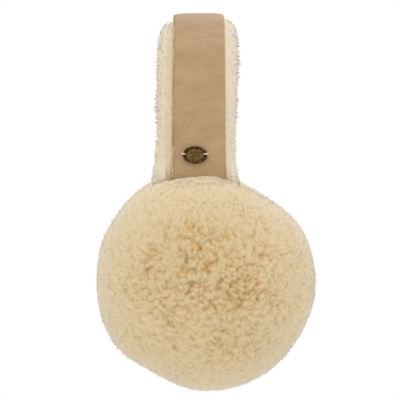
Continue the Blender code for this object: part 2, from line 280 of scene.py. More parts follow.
class BadgeSizes(bpy.types.PropertyGroup):
    width: length("Width", "Of the oval plate", 0.0125)
    height: length("Height", "Of the oval plate", 0.0090)
    thickness: length("Thickness", "Over the raised rim", 0.0014)
    rim: length("Rim width", "Of the raised rim", 0.0007)
    recess: length("Recess", "Of the face below the rim", 0.0004)
    bevel: length("Edge radius", "Of the rim's rounded edges", 0.00022)
    notch: length("Notch radius", "At both ends, where the thread is sewn over", 0.0007)
    above_pad: length("Above the pad", "From the pad's edge to the badge's middle", 0.0081)
    offset: offset("Offset", "From the suede's middle", -0.0019)
    hammer_pitch: length("Hammer mark pitch", "Between the dents of the face", 0.0015)
    hammer_depth: length("Hammer mark depth", "Of the dents of the face", 0.00034)
    thread: length("Thread width", "Of the thread that sews the badge on", 0.00080)


class Finishes(bpy.types.PropertyGroup):
    # Painted light: the pale cream at a pad's rim stands for light that passes through the wool there
    pad_rim_light: colour("Pad wool at the rim", "Pale cream, where the pile is seen from the side", "#dacbb0")
    pad_tip: colour("Pad wool tips", "Straw cream, where the pile is seen end on", "#d7c29b")
    # Painted shade: the root colour also fills the pile's crevices by their depth, besides coming through in
    # random patches
    pad_root_and_shade: colour("Pad wool roots", "Straw", "#cdac73")
    band_rim: colour("Band wool on the rolls", "Off-white", "#d6c9b4")
    # Painted shade: the tan beside the suede stands for the shade in the crevice where the wool is sewn to it
    band_seam_shade: colour("Band wool beside the suede", "Tan cream", "#d6b98c")
    # Painted shade: the band's root colour also fills its crevices by their depth, besides coming through in
    # random patches
    band_root_and_shade: colour("Band wool roots", "Pale straw", "#dac9ac")
    suede: colour("Suede", "Sand", "#a78967")
    suede_worn: colour("Brushed suede", "Where the nap lies the other way", "#ba9a77")
    brass: colour("Rubbed brass", "Where the patina is rubbed off", "#8d7546")
    patina: colour("Brass patina", "In the recess", "#3b2511")
    thread: colour("Thread", "Natural cotton", "#f4e8d2")


class Studio(bpy.types.PropertyGroup):
    camera_distance: length("Camera distance", "From the crown's middle, to the left", 1.18)
    camera_height: offset("Camera height", "Above the crown", -0.0885)
    camera_across: offset("Camera across", "Towards the rear", 0.0006)
    lens: FloatProperty(name="Lens", description="Focal length in millimetres", default=192.0, min=1.0)
    floor_drop: length("Floor drop", "From the pads' lowest point to the floor", 0.80)
    floor_radius: length("Floor radius", "Of the round floor", 6.0)
    sky: share("Sky", "Strength of the plain white surroundings", 1.0)
    key_power: FloatProperty(name="Key light", description="Power of the box above", default=4.1, min=0.0)
    fill_share: share("Fill light", "Power of the soft box behind, as a share of the key light's", 0.65)


def sizes(group):
    return getattr(bpy.context.scene, "earmuffs_" + group)


def ramp(values, start, end):
    """From 0 at one value to 1 at another, and level beyond both."""
    return ((values - start) / (end - start)).clip(0.0, 1.0)


def from_least(least, values):
    """Shares of 0 to 1 as shares of the least to 1."""
    return least + (1.0 - least) * values


def unit(rows):
    return rows / np.linalg.norm(rows, axis=1, keepdims=True)


def drift(points, scale, seed):
    """A smooth random vector at each point, about one unit long, that changes over a distance of scale."""
    noise.seed_set(DRIFT_SEED)
    shift = Vector((17.3 * seed, 5.1 * seed, 9.7 * seed))
    return np.array([noise.noise_vector(Vector(point) / scale + shift) for point in points])


def ripples(along, pitch, course):
    """Smooth random values at distances along a line that change over a pitch, on a course beside it."""
    courses = np.broadcast_to(course, along.shape)
    return np.array([noise.noise(Vector((spot / pitch, y, 0.0))) for spot, y in zip(along, courses)])


def band_frames(band, along):
    """Places of the band's inner face, its outward normals and its onward directions, at distances from
    the crown. A distance is positive towards the left ear."""
    side = np.where(along < 0.0, -1.0, 1.0)
    turn = np.minimum(np.abs(along) / band.crown_radius, math.pi / 2 + band.lean)
    leg = (np.abs(along) - turn * band.crown_radius)[:, None]
    zeros = np.zeros(len(along))
    normal = np.stack([side * np.sin(turn), zeros, np.cos(turn)], axis=1)
    onward = np.stack([side * np.cos(turn), zeros, -np.sin(turn)], axis=1)
    middle = np.array([0.0, 0.0, -band.crown_radius])
    return middle + normal * band.crown_radius + onward * leg, normal, onward


def band_frame(band, along):
    """The place, the outward normal and the onward direction at one distance from the crown."""
    return [Vector(rows[0]) for rows in band_frames(band, np.array([along]))]


def rim_along(band, pad):
    return band.crown_to_ear - pad.radius


def above_head(band, points):
    """How far points lie from the band's inner face."""
    x, z = np.abs(points[:, 0]), points[:, 2] + band.crown_radius
    turn = np.minimum(np.arctan2(x, z), math.pi / 2 + band.lean)
    return x * np.sin(turn) + z * np.cos(turn) - band.crown_radius


def past_suede(band, across):
    """How far places across the band lie outside the suede's edges."""
    return np.abs(across) - band.suede_width / 2


def new_piece(name, mesh, node, material):
    """Links a finished mesh as a piece that rides with the object and stands for a CAD node."""
    piece = bpy.data.objects.new(name, mesh)
    bpy.context.scene.collection.objects.link(piece)
    mesh.materials.append(material)
    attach(piece, "root")
    if node:
        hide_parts(node)
    return piece


def mesh_from(name, bm):
    mesh = bpy.data.meshes.new(name)
    bm.to_mesh(mesh)
    bm.free()
    return mesh


def read(items, key, kind, width):
    """One property of a mesh's points, faces or corners as an array."""
    rows = np.empty(len(items) * width, kind)
    items.foreach_get(key, rows)
    return rows.reshape(-1, width) if width > 1 else rows


def places_of(mesh):
    return read(mesh.vertices, "co", np.float32, 3).astype(float)


def set_floats(mesh, name, values):
    attribute = mesh.attributes.new(name, "FLOAT", "POINT")
    attribute.data.foreach_set("value", np.asarray(values, np.float32))


def set_map(mesh, places):
    layer = mesh.uv_layers.new(name="OFBake")
    layer.uv.foreach_set("vector", places.astype(np.float32).ravel())


def grid_mesh(name, along, across):
    bm = bmesh.new()
    bmesh.ops.create_grid(bm, x_segments=along, y_segments=across, size=1.0)
    return mesh_from(name, bm)


def sweep(name, band, section, reach, stations, sway=None):
    """One closed body along the band, from one end to the other: a grid with the section across it, bent
    along the band, sewn up lengthwise and filled at both ends. Sway moves its points across and up
    before it is bent."""
    mesh = grid_mesh(name, stations, len(section))
    spots = places_of(mesh)
    along = spots[:, 0] * reach
    column = np.rint((spots[:, 1] + 1.0) / 2.0 * len(section)).astype(int) % len(section)
    across, height = np.array(section)[column].T
    if sway:
        across, height = sway(along, across, height)
    place, normal, _ = band_frames(band, along)
    shape_closed(mesh, place + normal * height[:, None] + np.outer(across, REARWARD))
    return mesh


def shape_closed(mesh, points):
    """Moves a grid's points into place, merges those that meet, fills its open ends and turns its faces
    outwards."""
    mesh.vertices.foreach_set("co", points.astype(np.float32).ravel())
    bm = bmesh.new()
    bm.from_mesh(mesh)
    bmesh.ops.remove_doubles(bm, verts=bm.verts, dist=TINY / 10)
    bmesh.ops.edgeloop_fill(bm, edges=[edge for edge in bm.edges if edge.is_boundary])
    bmesh.ops.recalc_face_normals(bm, faces=bm.faces)
    bm.to_mesh(mesh)
    bm.free()
    mesh.shade_smooth()


def eased(points, pieces):
    """A smooth line through some points of the plane, with so many steps between each pair."""
    points = np.array(points)
    ends = np.concatenate([points[:1], points, points[-1:]])
    t = (np.arange(pieces) / pieces)[:, None]
    made = []
    for before, here, after, beyond in zip(ends, ends[1:], ends[2:], ends[3:]):
        bend = 2 * before - 5 * here + 4 * after - beyond
        twist = 3 * (here - after) + beyond - before
        made.append(here + (after - before + (bend + twist * t) * t) * t / 2)
    return np.concatenate([*made, points[-1:]])


def strand_shape(middle):
    """One strand of wool as a closed three-sided spindle, upright and one unit long, widest at its middle
    ring. Returns each point's height, its bearing and whether it is off the axis, the faces, and each
    face corner's place on the strand's own patch of a map."""
    bm = bmesh.new()
    bmesh.ops.create_cone(bm, cap_ends=True, segments=3, radius1=1.0, radius2=0.0, depth=1.0 - middle)
    bmesh.ops.translate(bm, verts=bm.verts, vec=(0.0, 0.0, (1.0 + middle) / 2))
    bmesh.ops.remove_doubles(bm, verts=bm.verts, dist=TINY)
    base = min(bm.faces, key=lambda face: face.calc_center_median().z)
    root = bmesh.ops.poke(bm, faces=[base])["verts"]
    bmesh.ops.translate(bm, verts=root, vec=(0.0, 0.0, -middle))
    bmesh.ops.recalc_face_normals(bm, faces=bm.faces)
    bm.verts.index_update()
    heights = np.array([vert.co.z for vert in bm.verts])
    bearings = np.array([math.atan2(vert.co.y, vert.co.x) for vert in bm.verts])
    off_axis = np.array([float(vert.co.xy.length > 0.5) for vert in bm.verts])
    faces = [[vert.index for vert in face.verts] for face in bm.faces]
    bm.free()
    places = []
    for face in faces:
        turns = {index: (bearings[index] / math.tau) % 1.0 for index in face if off_axis[index]}
        if max(turns.values()) - min(turns.values()) > 0.5:
            turns = {index: turn + 1.0 if turn < 0.5 else turn for index, turn in turns.items()}
        between = sum(turns.values()) / len(turns)
        places += [(turns.get(index, between) / 1.5, heights[index]) for index in face]
    return heights, bearings, off_axis, faces, np.array(places)


def grow_strands(name, pile, width, seed):
    """A mesh of strands, each a copy of one spindle bent from its root past its bend to its tip. Its
    shading normals lean towards the rounded top of the strand's lock, as light that spreads between fine
    fibres makes it look."""
    heights, bearings, off_axis, faces, places = strand_shape(STRAND_BELLY)
    draw = np.random.default_rng(seed)
    total, each = len(pile["roots"]), len(heights)
    t = heights[None, :, None]
    roots, bends, tips, tops, outward = (
        pile[key][:, None] for key in ("roots", "bends", "tips", "tops", "outward")
    )
    line = (1 - t) ** 2 * roots + 2 * t * (1 - t) * bends + t * t * tips
    heading = unit(pile["tips"] - pile["roots"])
    aside = unit(np.cross(heading, draw.normal(size=(total, 3))))[:, None]
    across = np.cross(heading[:, None], aside)
    turned = np.cos(bearings)[None, :, None] * aside + np.sin(bearings)[None, :, None] * across
    half_width = width / 2 * draw.uniform(*STRAND_WIDTHS, total)
    points = line + (half_width[:, None] * off_axis)[..., None] * turned
    mesh = bpy.data.meshes.new(name)
    corners = np.array([vert for face in faces for vert in face])
    starts = np.cumsum([0] + [len(face) for face in faces[:-1]])
    numbers = np.arange(total)[:, None]
    mesh.vertices.add(total * each)
    mesh.vertices.foreach_set("co", points.ravel())
    mesh.loops.add(total * len(corners))
    mesh.loops.foreach_set("vertex_index", (numbers * each + corners).ravel())
    mesh.polygons.add(total * len(faces))
    mesh.polygons.foreach_set("loop_start", (numbers * len(corners) + starts).ravel())
    mesh.update(calc_edges=True)
    mesh.shade_smooth()
    set_floats(mesh, "depth", ((tops - points) * outward).sum(axis=2).ravel())
    for key in ("tint", "lively", "light_shade_mix"):
        set_floats(mesh, key, np.repeat(pile[key], each))
    cells = math.ceil(math.sqrt(total))
    origin = np.stack([np.arange(total) % cells, np.arange(total) // cells], axis=1)[:, None]
    patch = STRAND_MARGIN + (1.0 - 2 * STRAND_MARGIN) * places
    set_map(mesh, (origin + patch) / cells * (1.0, STRAND_MAP_SHARE))
    soft = sizes("wool").soft_shading
    own = turned * off_axis[:, None] + (heading[:, None] + outward) / 2 * (1.0 - off_axis[:, None])
    facing = own * (1.0 - soft) + pile["rounded"][:, None] * soft
    mesh.normals_split_custom_set_from_vertices(unit(facing.reshape(-1, 3)))
    return mesh


def skin_map(mesh, flat):
    """Lays a skin's faces on the top strip of its map, one chart for those that face outwards and one
    for the rest. Flat turns corners and their faces' normals into places on a chart and its number."""
    corners = read(mesh.loops, "vertex_index", np.int32, 1)
    face_of = np.repeat(np.arange(len(mesh.polygons)), read(mesh.polygons, "loop_total", np.int32, 1))
    u, v, chart = flat(places_of(mesh)[corners], read(mesh.polygons, "normal", np.float32, 3)[face_of])
    strip = 1.0 - STRAND_MAP_SHARE
    u, v = (MAP_MARGIN + (1.0 - 2 * MAP_MARGIN) * part for part in (u, v))
    set_map(mesh, np.stack([(chart + u) * strip, STRAND_MAP_SHARE + v * strip], axis=1))


def joined(name, meshes):
    """One mesh of several."""
    parts = [bpy.data.objects.new(name, mesh) for mesh in meshes]
    for part in parts:
        bpy.context.scene.collection.objects.link(part)
    with bpy.context.temp_override(active_object=parts[0], selected_editable_objects=parts):
        bpy.ops.object.join()
    mesh = parts[0].data
    bpy.data.objects.remove(parts[0])
    mesh.name = name
    return mesh


def outline_share(bearing):
    """A pad's radius share at bearings in radians, eased between the values of PAD_OUTLINE."""
    table = np.array(PAD_OUTLINE)
    degrees = np.degrees(bearing) % 360.0
    place = degrees / (360.0 / len(table))
    row = place.astype(int) % len(table)
    blend = 0.5 - 0.5 * np.cos(np.pi * (place - np.floor(place)))
    lap = PILE_LAP * np.exp(-(((degrees - LAP_BEARING) / LAP_SPREAD) ** 2))
    return table[row] + (table[(row + 1) % len(table)] - table[row]) * blend + lap


def pad_matrix(band, pad, side, facing):
    """Turns a dome that faces +X into place on its pad."""
    place, normal, _ = band_frame(band, side * band.crown_to_ear)
    middle = place + normal * (band.thickness / 2) + Vector((0.0, pad.offset, 0.0))
    mirror = Matrix.Diagonal((facing * side, 1.0, 1.0, 1.0))
    return Matrix.Translation(middle) @ Matrix.Rotation(side * band.lean, 4, "Y") @ mirror


def dome_profile(pad, depth, steps=400):
    """Distance from the axis, distance from the rim's plane and the outward normal's shares of both,
    from the top of a dome to its rim, with the share of its area that lies nearer the top."""
    lean = np.linspace(0.0, math.pi / 2, steps)
    out, along = np.sin(lean), np.cos(lean)
    size = (out**pad.fullness + along**pad.fullness) ** (1.0 / pad.fullness)
    away, above = pad.radius * out / size, depth * along / size
    run, fall = np.gradient(away), np.gradient(above)
    span = np.hypot(run, fall)
    strips = np.hypot(np.diff(away), np.diff(above)) * (away[1:] + away[:-1]) * math.pi
    return (away, above, -fall / span, run / span), np.concatenate([[0.0], np.cumsum(strips)])


def dome_at(pad, depth, shares, bearing):
    """Points of a dome and their outward normals, by the share of its area that lies nearer its top, and
    by their bearing."""
    rows, area = dome_profile(pad, depth)
    r, x, nr, nx = (np.interp(shares * area[-1], area, row) for row in rows)
    reach = r * outline_share(bearing)
    points = np.stack([x, reach * np.cos(bearing), reach * np.sin(bearing)], axis=1)
    return points, np.stack([nx, nr * np.cos(bearing), nr * np.sin(bearing)], axis=1)


def dome_points(pad, depth, pitch, draw, jitter):
    """Points spread over a dome at a pitch, each moved along it by up to a share of the pitch, with their
    outward normals."""
    total = round(dome_profile(pad, depth)[1][-1] / (pitch * pitch * math.sqrt(3) / 2))
    points, normals = dome_at(pad, depth, (np.arange(total) + 0.5) / total, np.arange(total) * GOLDEN_ANGLE)
    shift = draw.uniform(-1.0, 1.0, (total, 3)) * pitch * jitter
    return points + level(shift, normals), normals


def level(rows, outward):
    """The parts of some vectors that run along a surface."""
    return rows - (rows * outward).sum(axis=1, keepdims=True) * outward


def fleece_skin(name, band, pad, depth, below, coat, matrix, cells):
    """The closed body under a fleece's fuzz: a square grid laid evenly on the dome and closed by a flat
    face at the rim's plane, with the band's pocket cut out of it before it gets the relief of its
    locks."""
    mesh = grid_mesh(name, cells, cells)
    square = places_of(mesh)[:, :2]
    size = np.abs(square).max(axis=1)
    wide = np.abs(square[:, 0]) >= np.abs(square[:, 1])
    major, minor = np.where(wide[:, None], square, square[:, ::-1]).T
    lean = math.pi / 4 * minor / np.where(major == 0.0, 1.0, major)
    bearing = np.where(wide, lean, math.pi / 2 - lean) + np.where(major < 0.0, math.pi, 0.0)
    points, normals = dome_at(pad, depth, size**2, bearing)
    drop, _, _, tint = relief(coat, points)
    drop *= ramp(points[:, 0], 0.0, RIM_RELIEF)
    traits = traits_of(coat, points, tint, drop + below)
    points -= normals * below
    points[:, 0] = np.maximum(points[:, 0], RIM_GAP)
    turn = np.array(matrix.to_3x3())
    points = points @ turn.T + np.array(matrix.translation)
    shape_closed(mesh, points)
    mesh = cut_pocket(band, pad, mesh)
    cut = places_of(mesh)
    same, gaps = nearest(cut, points)
    same, on_dome = same[:, 0], ramp(gaps, CUT_REACH, 0.0)
    cut -= (normals @ turn.T)[same] * drop[same][:, None] * on_dome
    mesh.vertices.foreach_set("co", cut.astype(np.float32).ravel())
    mesh.update()
    mesh.set_sharp_from_angle(angle=SHARP)
    for key, values in traits.items():
        set_floats(mesh, key, values[same])
    return mesh


def cut_pocket(band, pad, mesh):
    """Cuts the pocket that the band's end is sewn into."""
    half = band.suede_width / 2
    gap = 2 * band.seat_gap
    front, rear = half + band.front_overhang + gap, half + band.rear_overhang + gap
    top = band.thickness + gap
    section = [(-front, -gap), (-front, top), (rear, top), (rear, -gap)]
    reach = rim_along(band, pad) + band.tail_depth + gap
    tool = bpy.data.objects.new("pocket", sweep("pocket", band, section, reach, POCKET_STATIONS))
    body = bpy.data.objects.new("body", mesh)
    for obj in (tool, body):
        bpy.context.scene.collection.objects.link(obj)
    modifier = body.modifiers.new("pocket", "BOOLEAN")
    modifier.operation = "DIFFERENCE"
    modifier.object = tool
    graph = bpy.context.evaluated_depsgraph_get()
    done = bpy.data.meshes.new_from_object(body.evaluated_get(graph), depsgraph=graph)
    done.name = mesh.name
    bpy.data.objects.remove(body)
    bpy.data.objects.remove(tool)
    return done


def nearest(points, centres, many=1):
    """The numbers of the centres nearest to each point, and the distances to them, one column for each."""
    tree = kdtree.KDTree(len(centres))
    for index, centre in enumerate(centres):
        tree.insert(centre, index)
    tree.balance()
    rows = np.array([[(index, gap) for _, index, gap in tree.find_n(point, many)] for point in points])
    return rows[:, :, 0].astype(int), rows[:, :, 1]


def humps(points, centres, drops, pitch, steepness, grain):
    """How far below the longest tips a cover of rounded humps lies at some points, and the hump that each
    point is on. Grain is the way they are drawn out at each point, longer for a longer one."""
    near, _ = nearest(points, centres, 5)
    away = points[:, None] - centres[near]
    drawn = (away * grain[:, None]).sum(axis=2)
    gaps = ((away**2).sum(axis=2) - drawn**2).clip(0.0, pitch**2)
    low = drops[near] + gaps / pitch * steepness
    pick = low.argmin(axis=1)
    rows = np.arange(len(points))
    return low[rows, pick], near[rows, pick]


def coat_of(locks, tufts, pitches, lively, light_shade_mix, draw, seed, ridges=None, comb=None, grain=None):
    """A coat of wool: where its locks and tufts stand, how far each lies below the longest, how much fuzz
    it has and how pale it is, with functions that give how far the locks stand apart at some points, how
    far its colour moves from painted light towards painted shade there (away from a pad's pale rim, or
    into the tan beside the band's suede), the ridges where it lies smooth, and the ways in which it leans
    and its tufts are drawn out."""
    return {
        "locks": locks,
        "tufts": tufts,
        "lock_pitch": pitches[0],
        "tuft_pitch": pitches[1],
        "lively": lively,
        "light_shade_mix": light_shade_mix,
        "fuzz": draw.uniform(*FUZZ_RANGE, len(tufts)),
        "ridges": ridges or (lambda points: np.zeros(len(points))),
        "comb": comb or np.zeros_like,
        "grain": grain or np.zeros_like,
        "lock_drop": np.abs(draw.normal(size=len(locks))) * LOCK_DROP,
        "tuft_drop": np.abs(draw.normal(size=len(tufts))) * TUFT_DROP,
        "lock_tint": draw.uniform(0.0, 1.0, len(locks)),
        "tuft_tint": draw.uniform(0.0, 1.0, len(tufts)),
        "seed": seed,
    }


def traits_of(coat, points, tint, depth):
    """What a wool finish reads at some points."""
    return {"depth": depth, "tint": tint, "lively": coat["lively"](points), "light_shade_mix": coat["light_shade_mix"](points)}


def relief(coat, points):
    """How far a coat's rounded locks and tufts lie below its longest tips at some points, the lock and
    the tuft there, and their tint."""
    lock_pitch, tuft_pitch = coat["lock_pitch"], coat["tuft_pitch"]
    lively, grain = coat["lively"](points), coat["grain"](points)
    bent = points + drift(points, lock_pitch * LOCK_BEND_PITCH, coat["seed"]) * lock_pitch * LOCK_BEND
    lock_low, lock = humps(bent, coat["locks"], coat["lock_drop"], lock_pitch, LOCK_SLOPE, grain)
    tuft_low, tuft = humps(points, coat["tufts"], coat["tuft_drop"], tuft_pitch, TUFT_SLOPE, grain)
    swell = drift(points, SWELL_PITCH, coat["seed"] + 1)[:, 0] + SWELL_SHIFT
    ridges = (RIDGE_BASE + coat["ridges"](points)).clip(0.0, RIDGE_TOP) * RIDGE_DEPTH
    drop = (lock_low + tuft_low + swell.clip(0.0, 1.0) * SWELL_DEPTH) * lively
    tint = coat["lock_tint"][lock] * LOCK_TINT + coat["tuft_tint"][tuft] * (1.0 - LOCK_TINT)
    return drop + ridges * (1.0 - lively).clip(0.0, 1.0), lock, tuft, tint


def pile_of(coat, tops, outward, length, fuzz, draw):
    """Curly strands that stand on a coat's relief and draw together into its tufts and locks, whose tops
    are rounded. Fuzz is how far their tips stand over the relief."""
    lock_pitch, tuft_pitch = coat["lock_pitch"], coat["tuft_pitch"]
    drop, lock, tuft, tint = relief(coat, tops)
    lively = coat["lively"](tops)[:, None]
    locks, tufts = coat["locks"][lock], coat["tufts"][tuft]
    total = len(tops)
    standing = from_least(SMOOTH_FUZZ, lively)
    fuzz = fuzz * coat["fuzz"][tuft] * standing[:, 0]
    drop = (drop - fuzz * draw.uniform(0.0, 1.0, total))[:, None]
    gather = standing * ((tufts - tops) * TO_TUFT + (locks - tops) * TO_LOCK)
    comb = drift(tops, COMB_PITCH, coat["seed"] + 3) * COMB
    comb += draw.normal(size=(len(coat["locks"]), 3))[lock] * LOCK_COMB
    comb = comb * lively + coat["comb"](tops) * (1.0 - lively)
    curl = draw.normal(size=(len(coat["tufts"]), 3))[tuft] * TUFT_CURL
    curl += draw.normal(size=(total, 3)) * OWN_CURL
    curl = level(curl, outward) * from_least(SMOOTH_CURL, lively) * tuft_pitch
    spread = level(draw.normal(size=(total, 3)), outward) * tuft_pitch * ROOT_SPREAD
    lean = level(gather, outward) + level(comb, outward) * length * LEAN_AT_TIP
    roots = tops - outward * length + spread
    tips = tops - outward * drop + lean + curl * CURL_AT_TIP
    lock_side = level(tops - locks, outward) / lock_pitch * LOCK_ROUNDING
    tuft_side = level(tops - tufts, outward) / tuft_pitch * TUFT_ROUNDING
    return {
        "tops": tops,
        "outward": outward,
        "roots": roots,
        "bends": roots * (1.0 - BEND_AT) + tips * BEND_AT - curl * CURL_AT_BEND,
        "tips": tips,
        "rounded": unit(outward + lively * (lock_side + tuft_side)),
        "tint": tint,
        "lively": lively[:, 0],
        "light_shade_mix": coat["light_shade_mix"](tops),
    }


def tousled(wool, points):
    """How far the locks of a pad stand apart: fully in the middle, and hardly at the rim, where the pile
    lies smooth."""
    away = np.hypot(points[:, 1] - wool.tousled_back, points[:, 2] - wool.tousled_rise) / wool.tousled_radius
    uneven = drift(points, UNEVEN_PITCH, 5)[:, 1]
    fade = ramp(away - UNEVEN_EDGE * uneven, *TOUSLED_FADE)
    upper = (points[:, 2] / UPPER_SPAN + UPPER_SHIFT).clip(-1.0, 1.0)
    gain = (1.0 + UNEVEN_HEIGHT * uneven + UPPER_GAIN * upper).clip(*APART_RANGE)
    return from_least(PAD_CALM, fade * fade * (3.0 - 2.0 * fade) * gain) + SUEDE_LAP_GAIN * over_suede(points)


def over_suede(points):
    """Where a pad's pile laps over the suede's end in tufts, from 0 to 1."""
    bearing = np.degrees(np.arctan2(points[:, 2], points[:, 1]))
    reach = np.hypot(points[:, 1], points[:, 2]) / sizes("pad").radius
    return np.exp(-(((bearing - LAP_BEARING) / LAP_TUFT_SPREAD) ** 2)) * ramp(reach, *LAP_TUFTS)


def rim_light_fade(pad, points):
    """How far a pad's painted rim light gives way to the straw cream of its pile: not at all at the rim,
    where the pale colour is painted light that passes through the wool, and fully in the middle."""
    bearing = np.arctan2(points[:, 2], points[:, 1])
    inside = 1.0 - np.hypot(points[:, 1], points[:, 2]) / (pad.radius * outline_share(bearing))
    return 1.0 - np.exp(-RIM_LIGHT_RATE * inside.clip(0.0, 1.0))


def streaks(points, pitch, seed):
    """Faint ridges that run out to the rim, where the pile is combed flat."""
    away = np.hypot(points[:, 1], points[:, 2]).clip(TINY)
    ways = points / away[:, None] * RIDGE_SPAN / pitch
    spots = np.stack([away / (pitch * RIDGE_LENGTH) + seed, ways[:, 1], ways[:, 2]], axis=1)
    return np.array([noise.noise(Vector(spot)) for spot in spots])


def brushed(points):
    """The way the pile of a pad leans: out towards the rim."""
    ways = points * (0.0, 1.0, 1.0)
    return ways / np.linalg.norm(ways, axis=1, keepdims=True).clip(TINY)


def drawn_out(points):
    """How a pad's tufts are seen: end on in the middle, and more and more from the side towards the rim."""
    away = np.hypot(points[:, 1], points[:, 2])[:, None]
    return brushed(points) * ramp(away, *DRAWN_OUT).clip(0.0, DRAWN_OUT_MOST)


def fleece_mesh(name, facing, side, depth, pitch, cells, seed):
    """One woolly half of an ear pad: locks of curly wool under a fuzz of single strands."""
    band, pad, wool = sizes("band"), sizes("pad"), sizes("wool")
    matrix = pad_matrix(band, pad, side, facing)
    draw = np.random.default_rng(seed)
    locks, _ = dome_points(pad, depth, wool.lock_pitch, draw, JITTER)
    tufts, _ = dome_points(pad, depth, wool.tuft_pitch, draw, JITTER)
    coat = coat_of(
        locks,
        tufts,
        (wool.lock_pitch, wool.tuft_pitch),
        lambda points: tousled(wool, points),
        lambda points: rim_light_fade(pad, points),
        draw,
        seed,
        ridges=lambda points: streaks(points, wool.tuft_pitch * RIDGE_PITCH, seed),
        comb=brushed,
        grain=drawn_out,
    )
    tops, normals = dome_points(pad, depth, pitch, draw, STRAND_JITTER)
    lap, at_rim = over_suede(tops), ramp(tops[:, 0], RIM_WIDTH, 0.0)
    fuzz = PAD_FUZZ + LAP_FUZZ * lap + RIM_FUZZ * at_rim
    pile = pile_of(coat, tops + normals * wool.proud, normals, wool.pile, fuzz, draw)
    cover = PAD_COVER + PAD_COVER_GAIN * pile["lively"] + at_rim + lap
    keep = ~in_pocket(band, pad, pile["roots"]) & (draw.uniform(0.0, 1.0, len(tops)) < cover)
    turn = np.array(matrix.to_3x3())
    for key, rows in pile.items():
        pile[key] = rows[keep] if rows.ndim == 1 else rows[keep] @ turn.T
        if key in ("tops", "roots", "bends", "tips"):
            pile[key] += np.array(matrix.translation)
    strands = grow_strands(name, pile, wool.strand_width, seed)
    skin = fleece_skin(name, band, pad, depth, wool.skin_depth - wool.proud, coat, matrix, cells)
    back = np.array(matrix.inverted())
    span = PAD_MAP_SPAN * pad.radius

    def flat(places, face_normals):
        local = places @ back[:3, :3].T + back[:3, 3]
        inwards = (face_normals @ back[:3, :3].T)[:, 0] <= OUTWARDS
        return 0.5 + local[:, 1] / span, 0.5 + local[:, 2] / span, inwards.astype(int)

    skin_map(skin, flat)
    return joined(name, [skin, strands])


def in_pocket(band, pad, points):
    """Which points of a dome lie in the pocket of the band's end, or behind it."""
    half = band.suede_width / 2
    across = points[:, 1] + pad.offset
    before_rear = across < half + band.rear_overhang * POCKET_SHARE
    behind_front = across > -half - band.front_overhang * POCKET_SHARE
    inside = points[:, 0] < band.thickness / 2 - POCKET_CLEAR
    return before_rear & behind_front & inside & (points[:, 2] > pad.radius - band.tail_depth)


def band_outline(band, pieces=6):
    """The lining's outline in the plane across the band: the seat under the suede, and its woolly rest."""
    half = band.suede_width / 2
    rear = [(half + r * band.rear_overhang, h * band.rear_height) for r, h in ROLL_SECTION]
    front = [(-half - r * band.front_overhang, h * band.front_height) for r, h in ROLL_SECTION]
    seat = band.thickness - band.suede_thickness - band.seat_gap
    edge = (half - WOOL_UNDER_SUEDE, seat - band.suede_edge_drop)
    inner = [(half * HEAD_FLAT, 0.0), (-half * HEAD_FLAT, 0.0)]
    woolly = eased([edge, *rear, *inner, *front[::-1], (-edge[0], edge[1])], pieces)
    under = [(part * half, seat - crowned(band, part)) for part in SEAT_SHARES]
    return under, woolly


def crowned(band, part):
    """How far the suede lies below its middle at a share of its half width."""
    return band.suede_edge_drop * abs(part) ** SUEDE_CROWN_POWER


def swollen(band, along, across, height):
    """Places of the lining's points across the band and up, with each roll wider in some places along
    the band than in others, and risen to meet the pads' pile."""
    spots, front, rear = np.array(ROLL_SWELL).T
    along = np.abs(along)
    over = np.maximum(past_suede(band, across), 0.0)
    wider = np.where(across > 0.0, np.interp(along, spots, rear), np.interp(along, spots, front))
    rim = rim_along(band, sizes("pad"))
    meeting = ramp(along, rim - FILLET_RUN, rim) ** 2
    meeting *= ramp(over, 0.0, FILLET_WIDE) * ramp(height, 0.0, FILLET_HIGH)
    return across + np.sign(across) * over * wider, height + FILLET_RISE * meeting


def band_points(band, outline, free, pitch, draw, jitter):
    """Points spread over the band's woolly faces at a pitch, with their outward normals."""
    run = np.concatenate([[0.0], np.cumsum(np.hypot(*np.diff(outline, axis=0).T))])
    columns, rows = round(run[-1] / pitch), round(2 * free / pitch)
    row, column = (grid.ravel() for grid in np.meshgrid(np.arange(rows), np.arange(columns), indexing="ij"))
    total = len(row)
    along = ((row + 0.5 + draw.uniform(-jitter, jitter, total)) / rows * 2.0 - 1.0) * free
    around = (column + 0.5 * (row % 2) + 0.25 + draw.uniform(-jitter, jitter, total)) / columns * run[-1]
    across, height = (np.interp(around, run, outline[:, k]) for k in (0, 1))
    across, height = swollen(band, along, across, height)
    slope = unit(np.gradient(outline, run, axis=0))
    lean_across, lean_up = (np.interp(around, run, slope[:, k])[:, None] for k in (0, 1))
    place, normal, _ = band_frames(band, along)
    tops = place + normal * height[:, None] + np.outer(across, REARWARD)
    outward = unit(REARWARD * lean_up - normal * lean_across)
    middle = place + normal * band.thickness / 2
    return tops, outward * np.sign((outward * (tops - middle)).sum())


